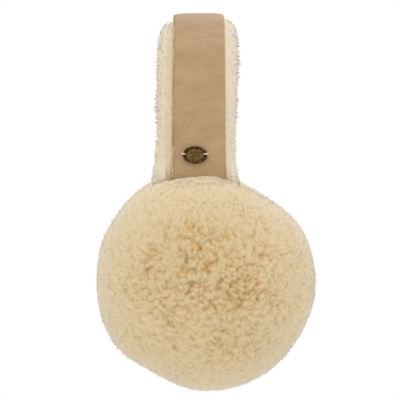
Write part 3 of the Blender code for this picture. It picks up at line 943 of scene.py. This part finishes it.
def band_coat(band, wool, outline, free, draw, seed):
    """The coat of the lining: calm beside the suede and near the pads, lively at the rolls' outer edges
    and on the head, with a tan painted shade where it is sewn in beside the suede."""
    seam = band_frame(band, rim_along(band, sizes("pad")) - SEAM_ABOVE)[0].z

    def lively(points):
        outer = ramp(past_suede(band, points[:, 1]), *ROLL_EDGE)
        on_head = ramp(above_head(band, points), *HEAD_FACE)
        above_pads = ramp(points[:, 2], seam, seam + NEAR_PADS).clip(NEAR_PADS_LEAST, 1.0)
        return BAND_CALM + BAND_GAIN * np.maximum(outer, on_head) * above_pads

    def light_shade_mix(points):
        over, above = past_suede(band, points[:, 1]).clip(0.0), above_head(band, points)
        # Painted shade: tan beside the suede, fading with the distance from its edge
        tan = np.exp(-over / np.where(points[:, 1] < 0.0, FRONT_SHADE_REACH, REAR_SHADE_REACH))
        return tan * ramp(above, *ROLL_TOP) + HEAD_TAN_SHARE * ramp(above, *HEAD_TIPS)

    def towards_suede(points):
        over = past_suede(band, points[:, 1:2])
        near = (1.0 - over / SEWN_IN).clip(0.0, 1.0) * (over > SEWN_SLACK)
        return -REARWARD * np.sign(points[:, 1:2]) * near

    pitches = (wool.band_locks, wool.band_tufts)
    locks, tufts = (band_points(band, outline, free, pitch, draw, JITTER)[0] for pitch in pitches)
    return coat_of(locks, tufts, pitches, lively, light_shade_mix, draw, seed, comb=towards_suede)


def band_wool_mesh(name, seed):
    """The wool lining: a body that fills the band, with short curly pile where no suede or pad lies."""
    band, pad, wool = sizes("band"), sizes("pad"), sizes("wool")
    draw = np.random.default_rng(seed)
    under, outline = band_outline(band)
    free = rim_along(band, pad) + BAND_PAST_PADS
    tail = rim_along(band, pad) + band.tail_depth
    coat = band_coat(band, wool, outline, free, draw, seed)
    section = np.concatenate([under, inset_line(band, outline, wool.skin_depth)])
    skin = sweep(name, band, section, tail, BAND_STATIONS, lambda *place: swollen(band, *place))
    points = places_of(skin)
    outward = read(skin.vertices, "normal", np.float32, 3).astype(float)
    drop, _, _, tint = relief(coat, points)
    beside = beside_suede(band, points[:, 1], above_head(band, points))
    drop *= beside
    skin.vertices.foreach_set("co", (points - outward * drop[:, None]).astype(np.float32).ravel())
    skin.shade_smooth()
    # Painted shade at the seams beside the suede: the wool there is coloured as if it lay deeper
    seam_shade_depth = np.where(points[:, 1] < 0.0, FRONT_SEAM_SHADE, REAR_SEAM_SHADE) * (1.0 - beside)
    for key, values in traits_of(coat, points, tint, drop + wool.skin_depth + seam_shade_depth).items():
        set_floats(skin, key, values)
    tops, outward = band_points(band, outline, free, wool.band_strands, draw, STRAND_JITTER)
    keep = draw.uniform(0.0, 1.0, len(tops)) < BAND_COVER + BAND_COVER_GAIN * coat["lively"](tops)
    pile = pile_of(coat, tops[keep], outward[keep], wool.band_pile, BAND_FUZZ, draw)
    lap = lapping_pile(band, free, draw)
    pile = {key: np.concatenate([rows, lap[key]]) for key, rows in pile.items()}
    strands = grow_strands(name, pile, wool.band_width, seed)
    wide, high = (span * (band.crown_radius + band.thickness) for span in BAND_MAP_SPANS)

    def flat(places, face_normals):
        chart = (face_normals[:, 1] < 0.0).astype(int)
        return 0.5 + places[:, 0] / wide, BAND_MAP_TOP + places[:, 2] / high, chart

    skin_map(skin, flat)
    return joined(name, [skin, strands])


def lapping_pile(band, free, draw):
    """Short strands that lap over the suede's front edge in uneven tufts."""
    total = round(2 * free / LAP_PITCH)
    along = draw.uniform(-free, free, total)
    waves = sum(ripples(along, pitch, course) * high for pitch, course, high in LAP_WAVES)
    reach = (LAP_MEAN + LAP_SWING * waves).clip(0.0, LAP_MOST) * draw.uniform(LAP_LEAST, 1.0, total)
    reach *= ramp(np.abs(along), *LAP_FROM_CROWN)
    start = draw.uniform(*LAP_ROOTS, total)
    sideways = draw.normal(0.0, LAP_SIDEWAYS, total)
    lift = draw.uniform(*LAP_LIFT, total)
    # Painted shade: the strands' tops are set above them, so that their colour reads them as lying deep
    shade = LAP_SHADE + LAP_SHADE_SWING * ripples(along, LAP_SHADE_PITCH, LAP_SHADE_COURSE)
    place, normal, onward = band_frames(band, along)
    low, high = band.front_height - LAP_SINK, band.thickness - band.suede_edge_drop * 0.5

    def at(height, past):
        across = past - band.suede_width / 2
        return place + normal * np.broadcast_to(height, (total,))[:, None] + np.outer(across, REARWARD)

    return {
        "tops": at(high + shade, reach),
        "outward": normal,
        "roots": at(low, start),
        "bends": at(high + LAP_HUMP, start * LAP_BEND),
        "tips": at(high + lift, reach) + onward * sideways[:, None],
        "rounded": unit(normal - REARWARD * LAP_TURN),
        "tint": draw.uniform(0.0, 1.0, total),
        "lively": np.full(total, LAP_LIVELY),
        # Painted shade: these strands take the tan beside the suede throughout
        "light_shade_mix": np.full(total, 1.0),
    }


def beside_suede(band, across, height):
    """From 0 at the suede's edge, where the wool is sewn to it, to 1 where it stands free."""
    return np.maximum(past_suede(band, across) / FREE_WIDE, ramp(height, *FREE_HEIGHT)).clip(0.0, 1.0)


def inset_line(band, line, by):
    """An open line of the band's section moved inwards by a distance, away from the suede's edges."""
    slope = unit(np.gradient(line, axis=0))
    inward = np.stack([-slope[:, 1], slope[:, 0]], axis=1)
    if (inward * (line.mean(axis=0) - line)).sum() < 0:
        inward = -inward
    return line + inward * by * beside_suede(band, line[:, 0], line[:, 1])[:, None]


def fill_inputs(node, values):
    """Sets a shader node's inputs by name or number, or links them to other nodes' outputs."""
    for key, value in values.items():
        socket = node.inputs[key]
        if isinstance(value, bpy.types.NodeSocket):
            node.id_data.links.new(value, socket)
        elif socket.type == "RGBA":
            socket.default_value = (*value, 1.0)
        else:
            socket.default_value = value


def add_node(tree, kind, output, inputs=(), **settings):
    """Adds a shader node with its settings and inputs, and returns one of its outputs."""
    node = tree.nodes.new(kind)
    for key, value in settings.items():
        setattr(node, key, value)
    fill_inputs(node, dict(inputs))
    return node.outputs[output]


def new_material(name):
    """A material, its node tree, its shader and the place on the object that its patterns read."""
    material = bpy.data.materials.new(name)
    material.use_nodes = True
    tree = material.node_tree
    return material, tree, tree.nodes["Principled BSDF"], add_node(tree, "ShaderNodeTexCoord", "Object")


def wool_finish(name, rim, tip_and_seam_shade, root, deep, warmth):
    """Washed sheepskin wool: fine, dull fibre, cream where one looks at its tips, with painted light and
    shade in its colour: on the pads a pale colour at the rim that stands for light passing through the wool,
    straw painted as shade in the crevices where the locks part, by their depth, and on the band a tan
    painted shade beside the suede. It gives the eye a soft pile with warm crevices and a paler edge. Deep
    is the depth where the root colour is whole, and warmth how far it comes through in patches."""
    material, tree, shader, place = new_material(name)
    wool = sizes("wool")
    depth, tint, lively, light_shade_mix = (
        add_node(tree, "ShaderNodeAttribute", "Fac", attribute_name=key)
        for key in ("depth", "tint", "lively", "light_shade_mix")
    )
    noise_inputs = {"Vector": place, "Scale": 1.0 / wool.nub_pitch, "Detail": 1.0}
    warp = add_node(tree, "ShaderNodeTexNoise", "Color", noise_inputs)
    bend = {0: warp, 1: (wool.nub_pitch * 0.5,) * 3, 2: place}
    bent = add_node(tree, "ShaderNodeVectorMath", "Vector", bend, operation="MULTIPLY_ADD")
    curls = {"Vector": bent, "Scale": 1.0 / wool.nub_pitch, "Smoothness": 0.4}
    nubs = add_node(tree, "ShaderNodeTexVoronoi", "Distance", curls, feature="SMOOTH_F1")
    low = add_node(tree, "ShaderNodeMath", 0, {0: nubs, 1: lively}, operation="MULTIPLY")
    # Painted shade: the colour turns to the root colour the deeper a point lies in the relief and between the
    # nubs
    sunk = {0: low, 1: wool.nub_height * 1.6, 2: depth}
    deeper = add_node(tree, "ShaderNodeMath", 0, sunk, operation="MULTIPLY_ADD")
    shading = {"Value": deeper, "From Min": 0.0002, "From Max": deep}
    fade = add_node(tree, "ShaderNodeMapRange", "Result", shading, interpolation_type="SMOOTHSTEP")
    # Painted light and shade: the pale colour at a pad's rim, and the tan beside the band's suede
    tips = add_node(tree, "ShaderNodeMix", 2, {0: light_shade_mix, 6: rim, 7: tip_and_seam_shade}, data_type="RGBA")
    fibre = add_node(tree, "ShaderNodeMix", 2, {0: fade, 6: tips, 7: root}, data_type="RGBA")
    cloud = {"Vector": place, "Scale": 1.0 / 0.022, "Detail": 3.0}
    patches = add_node(tree, "ShaderNodeTexNoise", "Fac", cloud)
    mixed = add_node(tree, "ShaderNodeMath", 0, {0: patches, 1: 0.55}, operation="MULTIPLY")
    summed = add_node(tree, "ShaderNodeMath", 0, {0: tint, 1: 0.45, 2: mixed}, operation="MULTIPLY_ADD")
    span = {"Value": summed, "From Min": 0.2, "From Max": 0.85, "To Max": warmth}
    warm = add_node(tree, "ShaderNodeMapRange", "Result", span)
    base = add_node(tree, "ShaderNodeMix", 2, {0: warm, 6: fibre, 7: root}, data_type="RGBA")
    curled = {"Strength": 0.4, "Distance": wool.nub_height, "Height": low}
    inputs = {
        "Base Color": base,
        "Normal": add_node(tree, "ShaderNodeBump", "Normal", curled, invert=True),
        "Roughness": 0.85,
        "IOR": 1.54,
        "Specular IOR Level": 0.25,
        "Sheen Weight": 0.3,
        "Sheen Roughness": 0.5,
    }
    fill_inputs(shader, inputs)
    return material


def suede_finish():
    """Brushed split leather: matt, with a short nap that lies lighter where it is stroked, over a fine
    grain. It gives the eye a soft sandy mottle with no gloss."""
    # A real nap's fibres are under 0.1 mm across: it is drawn in flecks of 1.1 mm, so that it shows.
    finishes = sizes("finishes")
    material, tree, shader, place = new_material("brushed_suede")
    stretch = {0: place, 1: (1.0, 0.55, 1.0)}
    stroked = add_node(tree, "ShaderNodeVectorMath", "Vector", stretch, operation="MULTIPLY")
    strokes = {"Vector": stroked, "Scale": 1.0 / 0.009, "Detail": 5.0, "Roughness": 0.62}
    mottle = add_node(tree, "ShaderNodeTexNoise", "Fac", strokes)
    grain = {"Vector": place, "Scale": 1.0 / 0.0011, "Detail": 3.0, "Roughness": 0.65}
    nap = add_node(tree, "ShaderNodeTexNoise", "Fac", grain)
    soft = add_node(tree, "ShaderNodeMapRange", "Result", {"Value": mottle, "From Min": 0.3, "From Max": 0.7})
    tones = {0: soft, 6: finishes.suede, 7: finishes.suede_worn}
    large = add_node(tree, "ShaderNodeMix", 2, tones, data_type="RGBA")
    specks = {"Value": nap, "From Min": 0.3, "From Max": 0.7, "To Max": 0.35}
    fine = add_node(tree, "ShaderNodeMapRange", "Result", specks)
    shaded = {0: fine, 6: large, 7: tuple(0.72 * part for part in finishes.suede)}
    bump = {"Strength": 0.5, "Distance": 0.0002, "Height": nap}
    inputs = {
        "Base Color": add_node(tree, "ShaderNodeMix", 2, shaded, data_type="RGBA"),
        "Normal": add_node(tree, "ShaderNodeBump", "Normal", bump),
        "Roughness": 0.95,
        "Specular IOR Level": 0.15,
        "Sheen Weight": 0.25,
        "Sheen Roughness": 0.4,
    }
    fill_inputs(shader, inputs)
    return material


def brass_finish():
    """Antiqued brass: dark patina in the hollows, rubbed through to warm metal on the high places. It
    gives the eye an old metal badge whose rim catches the light."""
    finishes = sizes("finishes")
    material, tree, shader, place = new_material("antiqued_brass")
    worn = add_node(tree, "ShaderNodeAttribute", "Fac", attribute_name="rubbed")
    stains = {"Vector": place, "Scale": 1.0 / 0.0012, "Detail": 4.0}
    cloud = add_node(tree, "ShaderNodeTexNoise", "Fac", stains)
    both = add_node(tree, "ShaderNodeMath", 0, {0: cloud, 1: 0.6, 2: worn}, operation="MULTIPLY_ADD")
    bare = add_node(tree, "ShaderNodeMapRange", "Result", {"Value": both, "From Min": 0.30, "From Max": 1.25})
    tones = {0: bare, 6: finishes.patina, 7: finishes.brass}
    inputs = {
        "Base Color": add_node(tree, "ShaderNodeMix", 2, tones, data_type="RGBA"),
        "Metallic": 1.0,
        "Roughness": add_node(
            tree, "ShaderNodeMapRange", "Result", {"Value": cloud, "To Min": 0.45, "To Max": 0.28}
        ),
    }
    fill_inputs(shader, inputs)
    return material


def thread_finish():
    """Natural cotton thread: dull and pale, with a fine twist that gives the eye a soft, matt cord."""
    # Real cotton fibres are over ten times finer than these 0.3 mm flecks, and would not show.
    material, tree, shader, place = new_material("cotton_thread")
    twist = add_node(tree, "ShaderNodeTexNoise", "Fac", {"Vector": place, "Scale": 1.0 / 0.0003})
    tone = sizes("finishes").thread
    tones = {0: twist, 6: tone, 7: tuple(0.85 * part for part in tone)}
    twisted = add_node(tree, "ShaderNodeMix", 2, tones, data_type="RGBA")
    fill_inputs(shader, {"Base Color": twisted, "Roughness": 0.8})
    return material


def add_fleeces(half, facing, depth, pitch, cells, seeds, finish):
    """Adds one woolly half of each ear pad as a piece."""
    for (ear, side), seed in zip(SIDES, seeds):
        name = f"{half}_fleece_{ear}"
        mesh = fleece_mesh(name, facing, side, depth, pitch, cells, seed)
        new_piece(name, mesh, "pad_" + name, finish)


class EARMUFFS_OT_outer_fleeces(bpy.types.Operator):
    """Builds the domed outer fleece of each ear pad"""

    bl_idname = "earmuffs.outer_fleeces"
    bl_label = "Outer fleeces"

    def execute(self, context):
        pad, wool, tones = sizes("pad"), sizes("wool"), sizes("finishes")
        colours = (tones.pad_rim_light, tones.pad_tip, tones.pad_root_and_shade)
        finish = wool_finish("curly_sheepskin_wool", *colours, wool.deep, wool.warmth)
        seeds = (11, 12)
        add_fleeces("outer", 1, pad.outer_depth, wool.outer_strands, wool.outer_cells, seeds, finish)
        return {"FINISHED"}


class EARMUFFS_OT_inner_fleeces(bpy.types.Operator):
    """Builds the flatter fleece on the ear side of each pad"""

    bl_idname = "earmuffs.inner_fleeces"
    bl_label = "Inner fleeces"

    def execute(self, context):
        pad, wool = sizes("pad"), sizes("wool")
        finish = bpy.data.materials["curly_sheepskin_wool"]
        seeds = (21, 22)
        add_fleeces("inner", -1, pad.inner_depth, wool.inner_strands, wool.inner_cells, seeds, finish)
        return {"FINISHED"}


class EARMUFFS_OT_band_wool(bpy.types.Operator):
    """Builds the band's wool lining with its two rolls"""

    bl_idname = "earmuffs.band_wool"
    bl_label = "Band wool"

    def execute(self, context):
        wool, tones = sizes("wool"), sizes("finishes")
        colours = (tones.band_rim, tones.band_seam_shade, tones.band_root_and_shade)
        finish = wool_finish("short_shearling_wool", *colours, wool.band_deep, wool.band_warmth)
        mesh = band_wool_mesh("band_wool", 31)
        new_piece("band_wool", mesh, "band_wool_lining", finish)
        return {"FINISHED"}


class EARMUFFS_OT_suede_strip(bpy.types.Operator):
    """Builds the suede strip with its turned edges"""

    bl_idname = "earmuffs.suede_strip"
    bl_label = "Suede strip"

    def execute(self, context):
        band, pad = sizes("band"), sizes("pad")
        reach = rim_along(band, pad) + band.tail_depth
        mesh = sweep("suede_strip", band, suede_section(band), reach, SUEDE_STATIONS, suede_sway)
        piece = new_piece("suede_strip", mesh, "band_suede_strip", suede_finish())
        return {"FINISHED"}


def suede_section(band, steps=24):
    """The suede's outline: gently crowned over its width, with rounded turned edges."""
    half = band.suede_width / 2
    shares = [-math.cos(math.pi * step / steps) for step in range(steps + 1)]
    top = [(part * half, band.thickness - crowned(band, part)) for part in shares]
    under = [(across * SUEDE_UNDER_SHARE, height - band.suede_thickness) for across, height in top]
    edge = band.suede_thickness / 2
    rear = [(half + SUEDE_TURN, top[-1][1] - edge * part) for part in SUEDE_TURN_SHARES]
    front = [(-across, height) for across, height in rear[::-1]]
    return top + rear + under[::-1] + front


def suede_sway(along, across, height):
    """The strip's edges waver a little where the needle pulled them in, and its face is not quite flat."""
    size, pitch, course = EDGE_WAVE
    edges = size * ripples(along, pitch, np.copysign(course, across))
    size, pitch, pitch_across = FACE_WAVE
    return across + np.sign(across) * edges, height + size * ripples(along, pitch, across / pitch_across)


def badge_place(band, pad, badge):
    """Turns a plate lying on the ground, face up, into place on the suede."""
    place, normal, onward = band_frame(band, rim_along(band, pad) - badge.above_pad)
    rearward = Vector(REARWARD)
    turned = Matrix((rearward, -onward, normal)).transposed().to_4x4()
    seat = place + normal * (band.thickness + band.seat_gap) + rearward * badge.offset
    return Matrix.Translation(seat) @ turned


def in_oval(badge, vert):
    """How far out a point of the badge lies: a quarter at its edge, nothing in its middle."""
    return (vert.co.x / badge.width) ** 2 + (vert.co.y / badge.height) ** 2


def badge_blank(badge):
    """The oval plate, face up on the ground, with its notches, its raised rim and rounded edges."""
    bm = bmesh.new()
    bmesh.ops.create_circle(bm, cap_ends=True, segments=96, radius=1.0)
    bmesh.ops.scale(bm, verts=bm.verts, vec=(badge.width / 2, badge.height / 2, 1.0))
    outline = bm.edges[:]
    made = bmesh.ops.extrude_face_region(bm, geom=bm.faces[:])["geom"]
    top = [item for item in made if isinstance(item, bmesh.types.BMFace)]
    bmesh.ops.translate(bm, verts=top[0].verts, vec=(0.0, 0.0, badge.thickness))
    bmesh.ops.inset_region(bm, faces=top, thickness=badge.rim, depth=0.0)
    for vert in bm.verts:
        if abs(vert.co.y) < badge.notch and in_oval(badge, vert) > OUTER_EDGE:
            depth = NOTCH_SHARE * math.sqrt(badge.notch**2 - vert.co.y**2)
            vert.co.x -= math.copysign(depth, vert.co.x)
    bmesh.ops.inset_region(bm, faces=top, thickness=badge.recess * RECESS_SLOPE, depth=-badge.recess)
    ridges = {edge for face in top for edge in face.edges} | set(outline)
    ridges |= {edge for edge in bm.edges if all(v.co.z > badge.thickness * RIM_TOP for v in edge.verts)}
    bmesh.ops.bevel(
        bm,
        geom=[edge for edge in bm.edges if edge in ridges and edge.calc_face_angle(0.0) > SHARP_EDGE],
        offset=badge.bevel,
        offset_type="OFFSET",
        affect="EDGES",
        segments=3,
        profile=0.5,
        material=-1,
        clamp_overlap=True,
    )
    face = max(bm.faces, key=lambda f: f.calc_area() if f.normal.z > UPWARD else 0.0)
    for _ in range(FACE_RINGS):
        bmesh.ops.inset_region(bm, faces=[face], thickness=badge.height * FACE_STEP, depth=0.0)
    bmesh.ops.poke(bm, faces=[face])
    bmesh.ops.recalc_face_normals(bm, faces=bm.faces)
    return bm


def hammer_badge(bm, badge):
    """Dents the badge's face and returns how far the patina is rubbed off at each point."""
    floor_z = badge.thickness - badge.recess
    rubbed = []
    for vert in bm.verts:
        inside = in_oval(badge, vert) < INNER_FACE
        high = vert.co.z > floor_z + badge.recess * RIM_FOOT
        dent = 0.0
        if inside and vert.co.z > floor_z - FLAT:
            gaps, _ = noise.voronoi(Vector((vert.co.x, vert.co.y, 0.0)) / badge.hammer_pitch)
            dent = min(gaps[1] - gaps[0], DENT_WIDTH) / DENT_WIDTH
            vert.co.z += badge.hammer_depth * (0.5 - dent)
        on_face = FACE_WEAR + DENT_WEAR * (1.0 - dent) if inside else 0.0
        on_rim = RIM_WEAR + RIM_WEAR_SWING * max(0.0, noise.noise(vert.co / WEAR_PITCH))
        rubbed.append(on_rim if high else on_face)
    return rubbed


class EARMUFFS_OT_badge(bpy.types.Operator):
    """Builds the oval badge with its raised rim and hammered face"""

    bl_idname = "earmuffs.badge"
    bl_label = "Badge"

    def execute(self, context):
        band, pad, badge = sizes("band"), sizes("pad"), sizes("badge")
        bm = badge_blank(badge)
        rubbed = hammer_badge(bm, badge)
        bmesh.ops.transform(bm, matrix=badge_place(band, pad, badge), verts=bm.verts)
        mesh = mesh_from("badge_plate", bm)
        mesh.shade_smooth()
        mesh.set_sharp_from_angle(angle=SHARP)
        set_floats(mesh, "rubbed", rubbed)
        new_piece("badge_plate", mesh, "badge", brass_finish())
        return {"FINISHED"}


class EARMUFFS_OT_thread_stitches(bpy.types.Operator):
    """Sews the badge on with a short stitch at each end"""

    bl_idname = "earmuffs.thread_stitches"
    bl_label = "Thread stitches"

    def execute(self, context):
        band, pad, badge = sizes("band"), sizes("pad"), sizes("badge")
        finish = thread_finish()
        matrix = badge_place(band, pad, badge)
        for end, label, tilt, start, stop in STITCHES:
            name = f"thread_stitch_{label}"
            route = [matrix @ point for point in stitch_route(badge, end, tilt, start, stop)]
            new_piece(name, twisted_thread(name, route, badge.thread), None, finish)
        return {"FINISHED"}


def stitch_route(badge, end, tilt, start, stop, steps=20):
    """From under the badge's hole, over its end and down into the suede."""
    made = []
    for step in range(steps + 1):
        t = step / steps
        away = badge.width / 2 + start + (stop - start) * t
        arch = math.sin(math.pi * (STITCH_TURNS[0] + STITCH_TURNS[1] * t)) ** STITCH_BOW
        rise = badge.thickness * STITCH_HIGH * arch - STITCH_SINK
        made.append(Vector((end * away, STITCH_ASIDE + tilt * (stop - start) * (0.5 - t) * end, rise)))
    return made


def twisted_thread(name, route, width, sides=8):
    """A thread of two plies twisted together along a route, closed at both ends."""
    bm = bmesh.new()
    for ply in (0.0, math.pi):
        end = None
        for step, point in enumerate(route):
            ahead = (route[min(step + 1, len(route) - 1)] - route[max(step - 1, 0)]).normalized()
            aside = ahead.cross(Vector((0.0, 0.0, 1.0))).normalized()
            up = aside.cross(ahead)
            turn = ply + step * PLY_TURN
            middle = point + (aside * math.cos(turn) + up * math.sin(turn)) * width * PLY_OFF
            ring = []
            for side in range(sides):
                bearing = 2 * math.pi * side / sides
                around = aside * math.cos(bearing) + up * math.sin(bearing)
                ring.append(middle + around * width * PLY_WIDE)
            if end is None:
                end = bm.faces.new([bm.verts.new(spot) for spot in ring])
                continue
            made = bmesh.ops.extrude_face_region(bm, geom=[end])["geom"]
            if step > 1:
                bmesh.ops.delete(bm, geom=[end], context="FACES_ONLY")
            end = next(item for item in made if isinstance(item, bmesh.types.BMFace))
            for vert, spot in zip(end.verts, ring):
                vert.co = spot
    bmesh.ops.recalc_face_normals(bm, faces=bm.faces)
    mesh = mesh_from(name, bm)
    mesh.shade_smooth()
    return mesh


class EARMUFFS_OT_studio(bpy.types.Operator):
    """Sets a pale floor, soft light and the camera at the photograph's angle"""

    bl_idname = "earmuffs.studio"
    bl_label = "Studio"

    def execute(self, context):
        studio, scene = sizes("studio"), context.scene
        bm = bmesh.new()
        bmesh.ops.create_circle(bm, cap_ends=True, segments=96, radius=studio.floor_radius)
        bmesh.ops.translate(bm, verts=bm.verts, vec=(0.0, 0.0, CAD_BOX[0][2] - studio.floor_drop))
        floor = bpy.data.objects.new("floor", mesh_from("floor", bm))
        scene.collection.objects.link(floor)
        paper, _, shader, _ = new_material("white_paper")
        fill_inputs(shader, {"Base Color": (0.95, 0.95, 0.95), "Roughness": 1.0})
        floor.data.materials.append(paper)
        world = bpy.data.worlds.new("plain_white")
        world.use_nodes = True
        backdrop = {"Color": (1.0, 1.0, 1.0), "Strength": studio.sky}
        fill_inputs(world.node_tree.nodes["Background"], backdrop)
        scene.world = world
        scene.view_settings.view_transform = "Standard"
        lit = Vector((0.0, 0.0, -0.1))
        for name, place, width, power in (
            ("soft_box_above", (0.9, -0.08, 1.1), 0.8, studio.key_power),
            ("soft_box_behind", (-0.9, 0.5, 1.1), 1.4, studio.key_power * studio.fill_share),
        ):
            lamp = bpy.data.lights.new(name, "AREA")
            lamp.shape = "DISK"
            lamp.size = width
            lamp.energy = power
            box = bpy.data.objects.new(name, lamp)
            aim = (Vector(place) - lit).to_track_quat("Z", "Y")
            box.matrix_world = Matrix.Translation(place) @ aim.to_matrix().to_4x4()
            scene.collection.objects.link(box)
        camera = bpy.data.objects.new("camera", bpy.data.cameras.new("camera"))
        camera.data.lens = studio.lens
        camera.location = (studio.camera_distance, studio.camera_across, studio.camera_height)
        camera.rotation_euler = (math.pi / 2, 0.0, math.pi / 2)
        scene.collection.objects.link(camera)
        scene.camera = camera
        return {"FINISHED"}


GROUPS = (
    ("band", BandSizes),
    ("pad", PadSizes),
    ("wool", WoolSizes),
    ("badge", BadgeSizes),
    ("finishes", Finishes),
    ("studio", Studio),
)
OPERATORS = (
    EARMUFFS_OT_studio,
    EARMUFFS_OT_outer_fleeces,
    EARMUFFS_OT_inner_fleeces,
    EARMUFFS_OT_band_wool,
    EARMUFFS_OT_suede_strip,
    EARMUFFS_OT_badge,
    EARMUFFS_OT_thread_stitches,
)


class EARMUFFS_PT_panel(bpy.types.Panel):
    """Lists the steps that build the earmuffs"""

    bl_idname = "EARMUFFS_PT_panel"
    bl_label = "Earmuffs"
    bl_space_type = "VIEW_3D"
    bl_region_type = "UI"
    bl_category = "Earmuffs"

    def draw(self, context):
        for operator in OPERATORS:
            self.layout.operator(operator.bl_idname)
        for label, group in GROUPS:
            box = self.layout.box()
            box.label(text=label.capitalize())
            for key in group.__annotations__:
                box.prop(sizes(label), key)


def register():
    for cls in (*[group for _, group in GROUPS], *OPERATORS, EARMUFFS_PT_panel):
        bpy.utils.register_class(cls)
    for label, group in GROUPS:
        setattr(bpy.types.Scene, "earmuffs_" + label, PointerProperty(type=group))


def unregister():
    for label, _ in GROUPS:
        delattr(bpy.types.Scene, "earmuffs_" + label)
    for cls in (EARMUFFS_PT_panel, *OPERATORS, *[group for _, group in GROUPS]):
        bpy.utils.unregister_class(cls)


def main():
    register()
    for operator in OPERATORS:
        family, step = operator.bl_idname.split(".")
        getattr(getattr(bpy.ops, family), step)()


if __name__ == "__main__":
    main()
